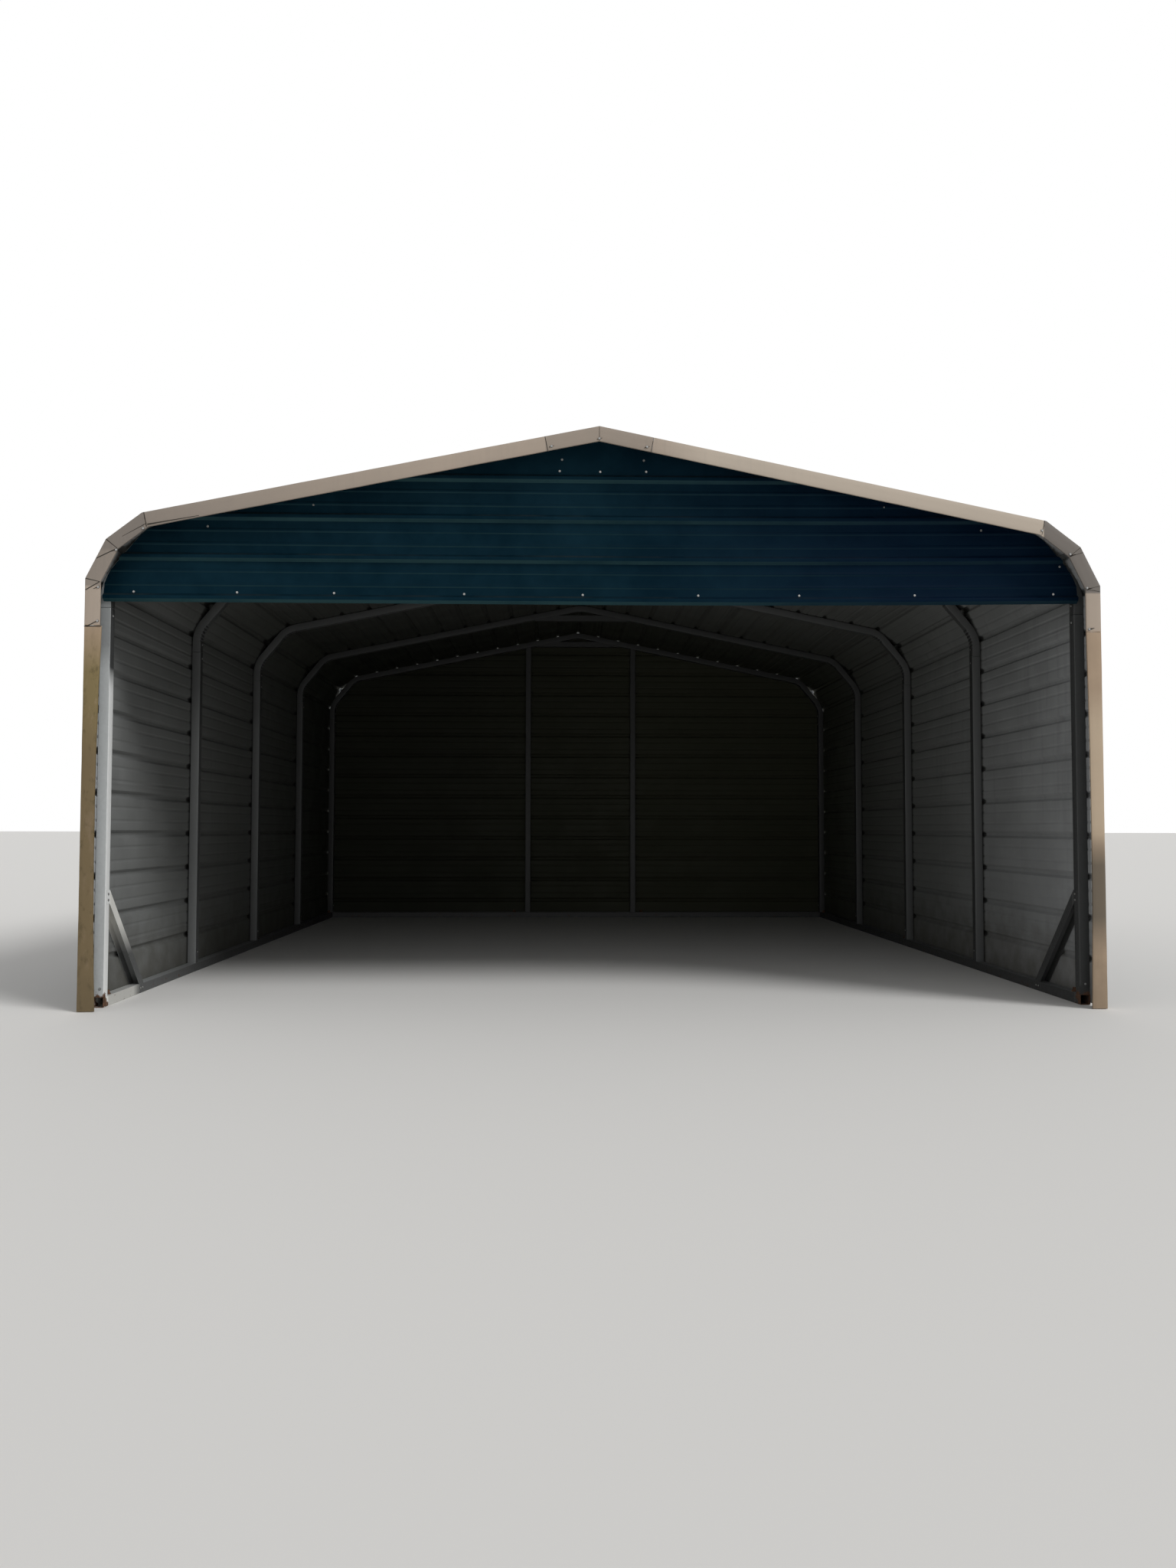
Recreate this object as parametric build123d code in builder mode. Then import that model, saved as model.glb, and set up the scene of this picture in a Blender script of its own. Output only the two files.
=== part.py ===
from build123d import *
import math
import os

# A steel carport with bent-tube bows, horizontal ribbed sheeting on both sides, the back and the
# roof, a closed front gable and folded edge trim. Millimetres. X runs across the front, Y runs from
# the open front to the closed back, Z is up. The origin is on the ground at the middle of the plan.

# Frame: overall sizes
frame_width = 5486.4
frame_length = 6096.0
leg_height = 2133.6
frame_count = 5
roof_angle = 11.5
corner_rise = 120.65
bow_bend_radius = 250.0
bow_clearance = 0.3
ridge_bend_radius = 290.0
front_leg_lift = 42.0

# Frame: tube
tube = 57.15
tube_wall = 2.1
tube_corner = 3.0

# Stub tubes welded on the rails, which the legs slide over
stub_wall = 2.0
stub_height = 150.0
stub_clearance = 0.4

# Peak braces, cut from the same tube
peak_brace_length = 914.4
peak_brace_drop = 7.0

# Front corner braces, bent from sheet as open channels
channel_wall = 1.9
channel_clearance = 0.3
corner_brace_run = 570.0
corner_brace_top = 635.0
corner_brace_flange = 50.0
corner_brace_tab = 44.0

# Back posts and front header
post_offset = 580.0
post_shift = 29.0
header_rise = 71.25

# Anchor holes through the rails
anchor_hole = 14.3
anchor_setback = 92.0
back_anchor_offset = 700.0

# Sheeting
rib_pitch = 228.6
sheet_pitches = 4
ridge_sheet_pitches = 2
sheet_thickness = 1.0
rib_height = 19.05
rib_half_foot = 23.0
rib_half_top = 9.0
minor_rib_height = 3.2
minor_rib_half_foot = 11.0
lap_gap = 0.3
lap_tail = 45.0
lap_lip = 8.0
joggle = 6.0
overhang = 152.4
skirt_bottom = 12.0
gable_inset = 30.0
back_inset = 8.0
gable_lip = 18.0

# Edge trim
trim_thickness = 1.2
trim_face = 89.0
trim_return = 60.0
trim_hem = 10.0
trim_gap = 0.4
trim_ground_gap = 3.0
trim_seam_drop = 249.4
trim_ridge_half = 295.0
trim_eave_lap = 30.0

# Worked out from the sizes above
half_width = frame_width / 2
half_length = frame_length / 2
leg_top = tube + leg_height
header_height = leg_top + header_rise
rail_x = half_width - tube / 2
bay = (frame_length - tube) / (frame_count - 1)
frame_ys = [-half_length + tube / 2 + i * bay for i in range(frame_count)]
corner_turn = (90 - roof_angle) / 3
bow_bend = (90 - roof_angle) / 2
sheet_half = half_length + overhang
lap_lift = sheet_thickness + lap_gap
rib_flank = math.atan2(rib_height, rib_half_foot - rib_half_top)


def facing(angle):
    """Unit direction of travel up the left side, turned inwards from vertical by the angle."""
    return Vector(math.sin(math.radians(angle)), math.cos(math.radians(angle)))


def left_of(direction):
    """Unit direction to the left of travel, which is outwards on the sheeting."""
    return Vector(-direction.Y, direction.X)


# Rib stations: the sheeting's bearing line turns at three ribs at each corner and at the ridge
corner_height = leg_top + corner_rise
wall_ribs = math.floor((corner_height - tube - rib_pitch / 4) / rib_pitch)
stations = [
    Vector(-half_width, corner_height - (wall_ribs - k) * rib_pitch) for k in range(wall_ribs + 1)
]
stations.append(stations[-1] + facing(corner_turn) * rib_pitch)
stations.append(stations[-1] + facing(2 * corner_turn) * rib_pitch)
roof_run = -stations[-1].X
slope_length = roof_run / math.cos(math.radians(roof_angle))
roof_pitches = round(slope_length / rib_pitch)
roof_step = slope_length / roof_pitches
eave_index = wall_ribs + 2
slope = facing(90 - roof_angle)
stations += [stations[eave_index] + slope * roof_step * k for k in range(1, roof_pitches + 1)]
ridge_index = len(stations) - 1
ridge_height = stations[ridge_index].Y
stations += [Vector(-p.X, p.Y) for p in reversed(stations[:-1])]
last_index = len(stations) - 1


def direction(path, index):
    """Unit direction of travel from one station to the next."""
    return (path[index + 1] - path[index]).normalized()


def mitre(path, index):
    """Vector that moves a station outwards by one millimetre on both sides of its bend."""
    before = direction(path, max(index - 1, 0))
    after = direction(path, min(index, len(path) - 2))
    mean = (left_of(before) + left_of(after)).normalized()
    return mean / mean.dot(left_of(before))


def bearing(index, distance=0.0):
    """Point at a station of the roof and walls, moved outwards from the bearing line."""
    return stations[index] + mitre(stations, index) * distance


def rib_points(path, index, lift=0.0):
    """Inner outline of a major rib over a station, lifted and wider where it nests on another."""
    nest = lift * math.tan(rib_flank / 2)
    before = direction(path, max(index - 1, 0))
    after = direction(path, min(index, len(path) - 2))
    crown = lift + rib_height
    points = [
        path[index] - before * (rib_half_foot + nest) + left_of(before) * lift,
        path[index] - before * (rib_half_top + nest) + left_of(before) * crown,
    ]
    if before.get_angle(after) > 0.01:
        points.append(path[index] + mitre(path, index) * crown)
    points += [
        path[index] + after * (rib_half_top + nest) + left_of(after) * crown,
        path[index] + after * (rib_half_foot + nest) + left_of(after) * lift,
    ]
    return points


def minor_points(path, index):
    """Two shallow stiffening ridges between a station and the next."""
    along = direction(path, index)
    out = left_of(along) * minor_rib_height
    points = []
    for share in (1 / 3, 2 / 3):
        middle = path[index] + (path[index + 1] - path[index]) * share
        points += [
            middle - along * minor_rib_half_foot,
            middle + out,
            middle + along * minor_rib_half_foot,
        ]
    return points


def sheet_points(path, first, last, first_end, last_end):
    """Inner face of one ribbed sheet from one station to another.

    Each end is over, where it laps on top of its neighbour, under, where it runs on below its
    neighbour, crown, where it is slit along its rib, or a height, where it is cut off flat.
    """
    points = []
    into = direction(path, first)
    if first_end == "over":
        lift = left_of(into) * lap_lift
        points.append(path[first] - into * (rib_half_foot + lap_lift + lap_lip) + lift)
        points += rib_points(path, first, lap_lift)
        points.append(path[first] + into * (lap_tail + lap_lip) + lift)
        points.append(path[first] + into * (lap_tail + lap_lip + joggle))
    elif first_end == "crown":
        points.append(path[first] + left_of(into) * rib_height)
        points += rib_points(path, first)[-2:]
    else:
        points.append(Vector(path[first].X, first_end))
        points += rib_points(path, first)
    for index in range(first, last):
        points += minor_points(path, index)
        if index + 1 < last:
            points += rib_points(path, index + 1)
    out_of = direction(path, last - 1)
    if last_end == "over":
        lift = left_of(out_of) * lap_lift
        points.append(path[last] - out_of * (lap_tail + lap_lip + joggle))
        points.append(path[last] - out_of * (lap_tail + lap_lip) + lift)
        points += rib_points(path, last, lap_lift)
        points.append(path[last] + out_of * (rib_half_foot + lap_lift + lap_lip) + lift)
    elif last_end == "under":
        points += rib_points(path, last)
        points.append(path[last] + out_of * lap_tail)
    else:
        points += rib_points(path, last)
        points.append(Vector(path[last].X, last_end))
    return points


def thickened(points, thickness):
    """Closed outline of a sheet: its inner face, then its outer face back to the start."""
    outer = [points[i] + mitre(points, i) * thickness for i in range(len(points))]
    return [(p.X, p.Y) for p in points + outer[::-1]]


def save(piece, name):
    """Label a finished piece and write it as its own node."""
    piece.part.label = name
    export_step(piece.part, f"parts/{name}.step")


os.makedirs("parts", exist_ok=True)

# One section serves every square tube
with BuildSketch() as tube_section:
    Rectangle(tube, tube)
    chamfer(tube_section.vertices(), length=tube_corner)
    Rectangle(tube - 2 * tube_wall, tube - 2 * tube_wall, mode=Mode.SUBTRACT)

# Base rails lie on the ground, with a stub under every leg and post and holes for the anchors
stub_outer = tube - 2 * tube_wall - 2 * stub_clearance
stub_inner = stub_outer - 2 * stub_wall
anchor_ys = [
    frame_ys[0] + anchor_setback,
    frame_ys[2] + anchor_setback,
    frame_ys[-1] - anchor_setback,
]

for side_name, side in (("left", -1), ("right", 1)):
    with BuildPart() as base_rail:
        with BuildSketch(Plane.XZ.offset(half_length)):
            with Locations((side * rail_x, tube / 2)):
                add(tube_section.sketch)
        extrude(amount=-frame_length)
        with BuildSketch(Plane.XY.offset(tube)):
            with Locations(*[(side * rail_x, y) for y in frame_ys]):
                Rectangle(stub_outer, stub_outer)
                Rectangle(stub_inner, stub_inner, mode=Mode.SUBTRACT)
        extrude(amount=stub_height)
        with Locations(*[(side * rail_x, y, tube) for y in anchor_ys]):
            Hole(radius=anchor_hole / 2, depth=tube)
    save(base_rail, f"{side_name}_base_rail")

back_y = half_length - tube / 2
back_rail_length = frame_width - 2 * tube
with BuildPart() as back_base_rail:
    with BuildSketch(Plane.YZ.offset(-back_rail_length / 2)):
        with Locations((back_y, tube / 2)):
            add(tube_section.sketch)
    extrude(amount=back_rail_length)
    with BuildSketch(Plane.XY.offset(tube)):
        with Locations((post_shift - post_offset, back_y), (post_shift + post_offset, back_y)):
            Rectangle(stub_outer, stub_outer)
            Rectangle(stub_inner, stub_inner, mode=Mode.SUBTRACT)
    extrude(amount=stub_height)
    with Locations((-back_anchor_offset, back_y, tube), (back_anchor_offset, back_y, tube)):
        Hole(radius=anchor_hole / 2, depth=tube)
save(back_base_rail, "back_base_rail")

# Legs stand on the side rails over the stubs, but the right front one has slid up its stub
for side_name, side in (("left", -1), ("right", 1)):
    for number, y in enumerate(frame_ys, start=1):
        lift = front_leg_lift if side > 0 and number == 1 else 0.0
        with BuildPart() as leg:
            with BuildSketch(Plane.XY.offset(tube + lift)):
                with Locations((side * rail_x, y)):
                    add(tube_section.sketch)
            extrude(amount=leg_height - lift)
        save(leg, f"{side_name}_leg_{number}")

# Roof bows: one bent tube from leg to leg, with two bends at each eave and one at the ridge
half_tube = tube / 2
bend_reach = bow_bend_radius * math.tan(math.radians(bow_bend / 2))
facet_reach = bow_bend_radius * math.tan(math.radians(corner_turn / 2))
bend_shift = bend_reach - facet_reach - bow_clearance
upright = Vector(0, 1)


def mirrored(point):
    """The same point on the other side of the ridge."""
    return Vector(-point.X, point.Y)


left_bow_path = [
    Vector(-half_width, leg_top),
    stations[wall_ribs] + upright * bend_shift,
    stations[eave_index] - slope * bend_shift,
]
bow_path = left_bow_path + [stations[ridge_index]] + [mirrored(p) for p in reversed(left_bow_path)]


def bow_line(inset):
    """Line along a bow, from the left leg to the right, inside its outer face by the inset."""
    bend_radius = bow_bend_radius - inset
    ridge_radius = ridge_bend_radius - inset
    points = [bow_path[i] - mitre(bow_path, i) * inset for i in range(len(bow_path))]
    radii = [bend_radius, bend_radius, ridge_radius, bend_radius, bend_radius]
    with BuildLine() as line:
        FilletPolyline(*[(p.X, p.Y) for p in points], radius=radii)
    return line.wires()[0]


with BuildPart() as first_bow:
    with BuildSketch(Plane.XZ):
        trace(bow_line(half_tube), line_width=tube)
    extrude(amount=half_tube, both=True)
    with BuildSketch(Plane.XZ):
        trace(bow_line(half_tube), line_width=tube - 2 * tube_wall)
    extrude(amount=half_tube - tube_wall, both=True, mode=Mode.SUBTRACT)

for number, y in enumerate(frame_ys, start=1):
    with BuildPart() as roof_bow:
        with Locations((0, y, 0)):
            add(first_bow.part)
    save(roof_bow, f"roof_bow_{number}")

# Peak braces: a short level tube under each bow, its ends clipped to fit the slope
slope_rise = math.tan(math.radians(roof_angle))
underside_ridge = bearing(ridge_index, -tube).Y
brace_half = peak_brace_length / 2
peak_brace_bottom = underside_ridge - brace_half * slope_rise - peak_brace_drop
with BuildPart() as peak_braces:
    for y in frame_ys:
        with BuildSketch(Plane.YZ.offset(-brace_half)):
            with Locations((y, peak_brace_bottom + half_tube)):
                add(tube_section.sketch)
        extrude(amount=peak_brace_length)
    with BuildSketch(Plane.XZ):
        with BuildLine():
            Polyline(
                (-brace_half, peak_brace_bottom),
                (-brace_half, peak_brace_bottom + peak_brace_drop),
                (0, underside_ridge),
                (brace_half, peak_brace_bottom + peak_brace_drop),
                (brace_half, peak_brace_bottom),
                close=True,
            )
        make_face()
    extrude(amount=half_length, both=True, mode=Mode.INTERSECT)
save(peak_braces, "peak_braces")

# Posts between the back rail and the back bow, cut to the slope at the top
for side_name, side in (("left", -1), ("right", 1)):
    post_out = post_offset + side * post_shift
    outer_top = underside_ridge - (post_out + half_tube) * slope_rise
    inner_top = outer_top + tube * slope_rise
    with BuildPart() as back_post:
        with BuildSketch(Plane.XY.offset(tube)):
            with Locations((side * post_out, back_y)):
                add(tube_section.sketch)
        extrude(amount=inner_top - tube)
        with BuildSketch(Plane.XZ.offset(-half_length)):
            with BuildLine():
                Polyline(
                    (side * (post_out + half_tube), outer_top),
                    (side * (post_out - half_tube), inner_top),
                    (side * (post_out + half_tube), inner_top),
                    close=True,
                )
            make_face()
        extrude(amount=tube, mode=Mode.SUBTRACT)
    save(back_post, f"back_post_{side_name}")


def wall_outline(inset, bottom):
    """Outline of an end wall, inside the outer face of the frame by the inset."""
    spring = Vector(-half_width + inset, leg_top)
    with BuildLine() as outline:
        add(bow_line(inset))
        Polyline(mirrored(spring), Vector(-spring.X, bottom), Vector(spring.X, bottom), spring)
    return outline.line


# Header across the front, coped to the inside of the front bow
front_y = -half_length + half_tube
header_middle = header_height + half_tube
with BuildPart() as gable_header:
    with BuildSketch(Plane.YZ.offset(-half_width)):
        with Locations((front_y, header_middle)):
            add(tube_section.sketch)
    extrude(amount=frame_width)
    with BuildSketch(Plane.XZ.offset(half_length)):
        add(wall_outline(tube, tube))
        make_face()
    extrude(amount=-tube, mode=Mode.INTERSECT)
save(gable_header, "gable_header")

# Front corner braces: a channel from the leg down to the rail, its inner flange lapped on both
leg_back = -half_length + tube
brace_foot = -half_length + corner_brace_run
brace_lean = math.atan2(corner_brace_top - tube, brace_foot - leg_back)


def brace_side(depth, tab=0.0):
    """Side view of a corner brace, as deep as given below its upper edge, with lapped tabs."""
    along_rail = depth / math.sin(brace_lean)
    down_leg = depth / math.cos(brace_lean)
    with BuildLine() as outline:
        Polyline(
            (brace_foot, tube),
            (brace_foot, tube - tab),
            (brace_foot - along_rail, tube - tab),
            (brace_foot - along_rail, tube),
            (leg_back, corner_brace_top - down_leg),
            (leg_back - tab, corner_brace_top - down_leg),
            (leg_back - tab, corner_brace_top),
            (leg_back, corner_brace_top),
            close=True,
        )
    return outline.line


def plain_side(depth):
    """Side view of a corner brace cut off at the leg and the rail."""
    with BuildLine() as outline:
        Polyline(
            (brace_foot, tube),
            (brace_foot - depth / math.sin(brace_lean), tube),
            (leg_back, corner_brace_top - depth / math.cos(brace_lean)),
            (leg_back, corner_brace_top),
            close=True,
        )
    return outline.line


for side_name, side in (("left", -1), ("right", 1)):
    inner_x = side * (half_width - tube - channel_clearance)
    outer_x = side * (half_width - channel_clearance)
    with BuildPart() as corner_brace:
        with BuildSketch(Plane.YZ.offset(inner_x)):
            add(brace_side(corner_brace_flange, corner_brace_tab))
            make_face()
        extrude(amount=-side * channel_wall)
        with BuildSketch(Plane.YZ.offset(inner_x)):
            add(plain_side(channel_wall))
            make_face()
        extrude(amount=outer_x - inner_x)
        with BuildSketch(Plane.YZ.offset(outer_x)):
            add(plain_side(corner_brace_flange))
            make_face()
        extrude(amount=-side * channel_wall)
    save(corner_brace, f"front_brace_{side_name}")

# Side, corner, roof and ridge sheets, each lapped over the one below
def long_sheet(name, points):
    """One ribbed sheet, as long as the frame and both overhangs."""
    with BuildPart() as sheet:
        with BuildSketch(Plane.XZ):
            with BuildLine():
                Polyline(*thickened(points, sheet_thickness), close=True)
            make_face()
        extrude(amount=sheet_half, both=True)
    save(sheet, name)


def shared_laps(first, last):
    """Stations at which sheets of about the usual width share out a run of ribs."""
    count = round((last - first) / sheet_pitches)
    return [first + round((last - first) * k / count) for k in range(count + 1)]


corner_lap = wall_ribs - 1
roof_lap = corner_lap + sheet_pitches
last_lap = ridge_index - ridge_sheet_pitches
laps = shared_laps(0, corner_lap) + shared_laps(roof_lap, last_lap)
skirt_path = [Vector(-half_width, skirt_bottom), stations[0], stations[1]]
skirt = [skirt_path[0]] + rib_points(skirt_path, 1) + [stations[0] + Vector(0, lap_tail)]
long_sheet("left_wall_sheet_1", skirt)
long_sheet("right_wall_sheet_1", [mirrored(p) for p in reversed(skirt)])
counts = {"wall": 1, "corner": 0, "roof": 0}
for first, last in zip(laps, laps[1:]):
    region = "wall" if last <= corner_lap else "roof" if first >= roof_lap else "corner"
    counts[region] += 1
    points = sheet_points(stations, first, last, "over", "under")
    long_sheet(f"left_{region}_sheet_{counts[region]}", points)
    long_sheet(f"right_{region}_sheet_{counts[region]}", [mirrored(p) for p in reversed(points)])
long_sheet("ridge_sheet", sheet_points(stations, last_lap, last_index - last_lap, "over", "over"))

# End walls: level ribbed sheets on the outer face of the first and the last frame
gable_rib = header_height - gable_lip
gable_ribs = math.floor((ridge_height - gable_rib) / rib_pitch)
ribs_below = math.floor((gable_rib - tube - rib_pitch / 4) / rib_pitch)
end_path = [
    Vector(-half_length, gable_rib + (k - ribs_below) * rib_pitch) for k in range(ribs_below + gable_ribs + 1)
]
first_back_lap = math.floor((sheet_pitches * rib_pitch + skirt_bottom - end_path[0].Y) / rib_pitch)
top_back_lap = ribs_below + 2
end_top = len(end_path) - 1


def end_sheet(name, points, inset, back):
    """One level ribbed sheet of an end wall, cut to the outline of the frame."""
    if back:
        points = [mirrored(p) for p in reversed(points)]
    with BuildPart() as sheet:
        with BuildSketch(Plane.YZ):
            with BuildLine():
                Polyline(*thickened(points, sheet_thickness), close=True)
            make_face()
        extrude(amount=half_width, both=True)
        with BuildSketch(Plane.XZ):
            add(wall_outline(inset, skirt_bottom))
            make_face()
        extrude(amount=2 * half_length, both=True, mode=Mode.INTERSECT)
    save(sheet, name)


gable_points = sheet_points(end_path, ribs_below, end_top, "crown", ridge_height)
end_sheet("front_gable_sheet", gable_points, gable_inset, False)
back_laps = [0] + shared_laps(first_back_lap, top_back_lap) + [end_top]
for number, (first, last) in enumerate(zip(back_laps, back_laps[1:]), start=1):
    first_end = skirt_bottom if first == 0 else "over"
    last_end = ridge_height if last == end_top else "under"
    points = sheet_points(end_path, first, last, first_end, last_end)
    end_sheet(f"back_wall_sheet_{number}", points, back_inset, True)

# Edge trim: an angle folded over the ends of the sheets, with a small hem on its inner edge
trim_out = rib_height + lap_lift + sheet_thickness + trim_gap + trim_thickness
trim_in = trim_out - trim_face
trim_front = sheet_half + trim_gap + trim_thickness
roof_seam = stations[ridge_index] - slope * (trim_ridge_half / math.cos(math.radians(roof_angle)))
eave_seam = stations[eave_index] + slope * trim_eave_lap
leg_seam = Vector(-half_width, corner_height - trim_seam_drop)


def square_cut(point, travel, shift):
    """A seam cut square across the trim, as a point and its outward vector."""
    return point + travel * shift, left_of(travel)


def bend(index):
    """A fold of the trim over a station."""
    return stations[index], mitre(stations, index)


def opposite(run):
    """The same run of trim on the other side."""
    return [(mirrored(point), mirrored(outward)) for point, outward in reversed(run)]


def band(run, outer, inner):
    """Strip along a run of trim between two distances outside the bearing line."""
    edge = [point + outward * outer for point, outward in run]
    back = [point + outward * inner for point, outward in reversed(run)]
    with BuildLine() as outline:
        Polyline(*[(p.X, p.Y) for p in edge + back], close=True)
    return outline.line


def add_trim(run, front):
    """Face, outer return and inner hem of one run of trim, inside the current part."""
    out = 1 if front else -1
    strips = (
        (trim_out, trim_in, trim_thickness),
        (trim_out, trim_out - trim_thickness, trim_return),
        (trim_in + trim_thickness, trim_in, trim_hem),
    )
    for outer, inner, depth in strips:
        with BuildSketch(Plane.XZ.offset(out * trim_front)) as strip:
            add(band(run, outer, inner))
            make_face()
        extrude(strip.sketch, amount=-out * depth)


seam = trim_gap / 2
leg_run = [
    square_cut(Vector(-half_width, trim_ground_gap), upright, 0),
    square_cut(leg_seam, upright, -seam),
]
corner_run = (
    [square_cut(leg_seam, upright, seam)]
    + [bend(index) for index in range(wall_ribs, eave_index + 1)]
    + [square_cut(eave_seam, slope, -seam)]
)
slope_run = [square_cut(eave_seam, slope, seam), square_cut(roof_seam, slope, -seam)]
ridge_half_run = [square_cut(roof_seam, slope, seam)]
ridge_run = ridge_half_run + [bend(ridge_index)] + opposite(ridge_half_run)

with BuildPart() as front_roof_trim:
    for run in (slope_run, ridge_run, opposite(slope_run)):
        add_trim(run, True)
save(front_roof_trim, "front_roof_trim")

for side_name, side in (("left", -1), ("right", 1)):
    for part_name, left_run in (("leg", leg_run), ("corner", corner_run)):
        with BuildPart() as front_trim:
            add_trim(left_run if side < 0 else opposite(left_run), True)
        save(front_trim, f"front_{part_name}_trim_{side_name}")

with BuildPart() as back_trim:
    for run in (leg_run, corner_run, slope_run):
        add_trim(run, False)
        add_trim(opposite(run), False)
    add_trim(ridge_run, False)
save(back_trim, "back_trim")
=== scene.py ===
"""Dresses the packed carport: ribbed sheeting, bent tubes, folded trim, screws and a plain stage."""

import math

import bmesh
import bpy
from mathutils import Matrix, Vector, noise


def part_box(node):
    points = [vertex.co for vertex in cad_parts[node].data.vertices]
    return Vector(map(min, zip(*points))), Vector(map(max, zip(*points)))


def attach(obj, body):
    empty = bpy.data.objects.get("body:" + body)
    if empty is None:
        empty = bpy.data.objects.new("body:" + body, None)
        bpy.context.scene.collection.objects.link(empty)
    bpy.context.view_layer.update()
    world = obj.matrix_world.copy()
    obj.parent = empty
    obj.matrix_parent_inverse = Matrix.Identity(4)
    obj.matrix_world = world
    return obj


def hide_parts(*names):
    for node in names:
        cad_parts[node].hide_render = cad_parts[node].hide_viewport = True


bl_info = {
    "name": "Ribbed steel carport",
    "version": (1, 0, 0),
    "blender": (4, 5, 0),
    "location": "3D Viewport > Sidebar > Carport",
    "description": "Builds the sheeting, tubes, trim and fasteners of a bent-tube carport on its CAD frame",
    "category": "Object",
}

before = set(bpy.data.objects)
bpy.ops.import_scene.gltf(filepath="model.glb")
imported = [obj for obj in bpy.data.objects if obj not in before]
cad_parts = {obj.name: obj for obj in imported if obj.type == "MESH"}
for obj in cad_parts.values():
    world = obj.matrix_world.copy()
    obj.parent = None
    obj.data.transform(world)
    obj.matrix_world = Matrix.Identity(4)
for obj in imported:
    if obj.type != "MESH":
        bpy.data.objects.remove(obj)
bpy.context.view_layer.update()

# Sizes read from the frame, in metres
LEG_LOW, LEG_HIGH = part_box("left_leg_1")
TUBE = LEG_HIGH.x - LEG_LOW.x
HALF_WIDTH = -LEG_LOW.x
LEG_TOP = LEG_HIGH.z
RAIL_TOP = LEG_LOW.z
FRAME_YS = [(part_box(f"left_leg_{n}")[0].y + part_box(f"left_leg_{n}")[1].y) / 2 for n in range(1, 6)]
FRAME_FRONT = FRAME_YS[0] - TUBE / 2
FRAME_BACK = FRAME_YS[-1] + TUBE / 2
SHEET_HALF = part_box("ridge_sheet")[1].y
HEADER_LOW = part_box("gable_header")[0].z
TRIM_LOW, TRIM_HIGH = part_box("front_leg_trim_left")
TRIM_BOTTOM = TRIM_LOW.z
TRIM_SEAM = TRIM_HIGH.z
TRIM_FRONT = -TRIM_LOW.y
TRIM_OUT = -TRIM_LOW.x - HALF_WIDTH
SKIRT_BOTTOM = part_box("left_wall_sheet_1")[0].z
BRACE_END, BRACE_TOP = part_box("front_brace_left")[1].yz

# Slope of the roof, and sizes of the bent frame, its sheeting and its trim, in metres
ROOF_ANGLE = math.radians(11.5)
CORNER_RISE = 0.12065
EAVE_BEND = 0.25
RIDGE_BEND = 0.29
RIDGE_TRIM_HALF = 0.295
EAVE_TRIM_LAP = 0.004
LAP_LIFT = 0.0013
LAP_TAIL = 0.045
LAP_LIP = 0.008
JOGGLE = 0.006
SHEET_PITCHES = 4
GABLE_LIP = 0.018
GABLE_INSET = 0.004
GABLE_CORNERS = (0.015, 0.037)
GABLE_RISE = 0.015
GABLE_STAND = 0.012
BACK_INSET = 0.008
TURN_INWARDS = 0.3
TURN_DOWN = 0.15
RIDGE_TURN_HALF = 0.3
SWELL_FROM_FRAME = 0.25
SWELL_FROM_END = 0.2
TRIM_CLEARANCE = 0.002
CUT_ABOVE_HEADER = 0.18
CUT_REACH = 0.2
GABLE_PIN = 0.08
TRIM_BEND = 0.0012
UP = Vector((0, 1))

# Spacing of the meshes' points, in metres, and rings in half a sheet
LONG_SPACING = 0.12
LONG_RINGS = 20
END_SPACING = 0.022
END_RINGS = 24
TRIM_SPACING = 0.03
RUN_SPACING = 0.035


def settings(part):
    """Sizes and colours of one part of the carport, as the sidebar shows them."""
    return getattr(bpy.context.scene, "carport_" + part)


def held(value, reach=1.0):
    """A value as a share of a reach, held between 0 and 1."""
    return max(0.0, min(1.0, value / reach))


# Lines in the plane of a frame: x across and y up


def facing(angle):
    """Unit direction of travel up the left side, turned inwards from vertical by the angle."""
    return Vector((math.sin(angle), math.cos(angle)))


SLOPE = facing(math.pi / 2 - ROOF_ANGLE)


def left_of(way):
    """Unit direction to the left of travel, which is outwards on the sheeting."""
    return Vector((-way.y, way.x))


def direction(path, index):
    """Unit direction of travel from one point to the next."""
    return (path[index + 1] - path[index]).normalized()


def both_ways(path, index):
    """Directions of travel before and after a point."""
    return direction(path, max(index - 1, 0)), direction(path, min(index, len(path) - 2))


def mitre(path, index):
    """Vector that moves a point outwards by one unit on both sides of its bend."""
    before, after = both_ways(path, index)
    mean = (left_of(before) + left_of(after)).normalized()
    return mean / mean.dot(left_of(before))


def moved_out(path, distance):
    """The same line, moved outwards."""
    return [path[i] + mitre(path, i) * distance for i in range(len(path))]


def mirrored(point):
    """The same point on the other side of the ridge."""
    return Vector((-point.x, point.y))


def turned_back(path):
    """The same line on the other side of the ridge, travelled the other way."""
    return [mirrored(p) for p in reversed(path)]


def eased(path, radius, steps=2):
    """The same line with each bend rounded off by a short arc."""
    points = [path[0]]
    for i in range(1, len(path) - 1):
        before, after = direction(path, i - 1), direction(path, i)
        turn = math.acos(max(-1.0, min(1.0, before.dot(after))))
        if turn < 0.02:
            points.append(path[i])
            continue
        room = 0.45 * min((path[i] - path[i - 1]).length, (path[i + 1] - path[i]).length)
        reach = min(radius * math.tan(turn / 2), room)
        start, end = path[i] - before * reach, path[i] + after * reach
        for step in range(steps + 1):
            share = step / steps
            points.append(start.lerp(path[i], share).lerp(path[i].lerp(end, share), share))
    points.append(path[-1])
    return points


def spaced(path, spacing):
    """The same line with points added so that none lie further apart than the spacing."""
    points = [path[0]]
    for a, b in zip(path, path[1:]):
        count = max(1, math.ceil((b - a).length / spacing))
        points += [a.lerp(b, k / count) for k in range(1, count + 1)]
    return points


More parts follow.
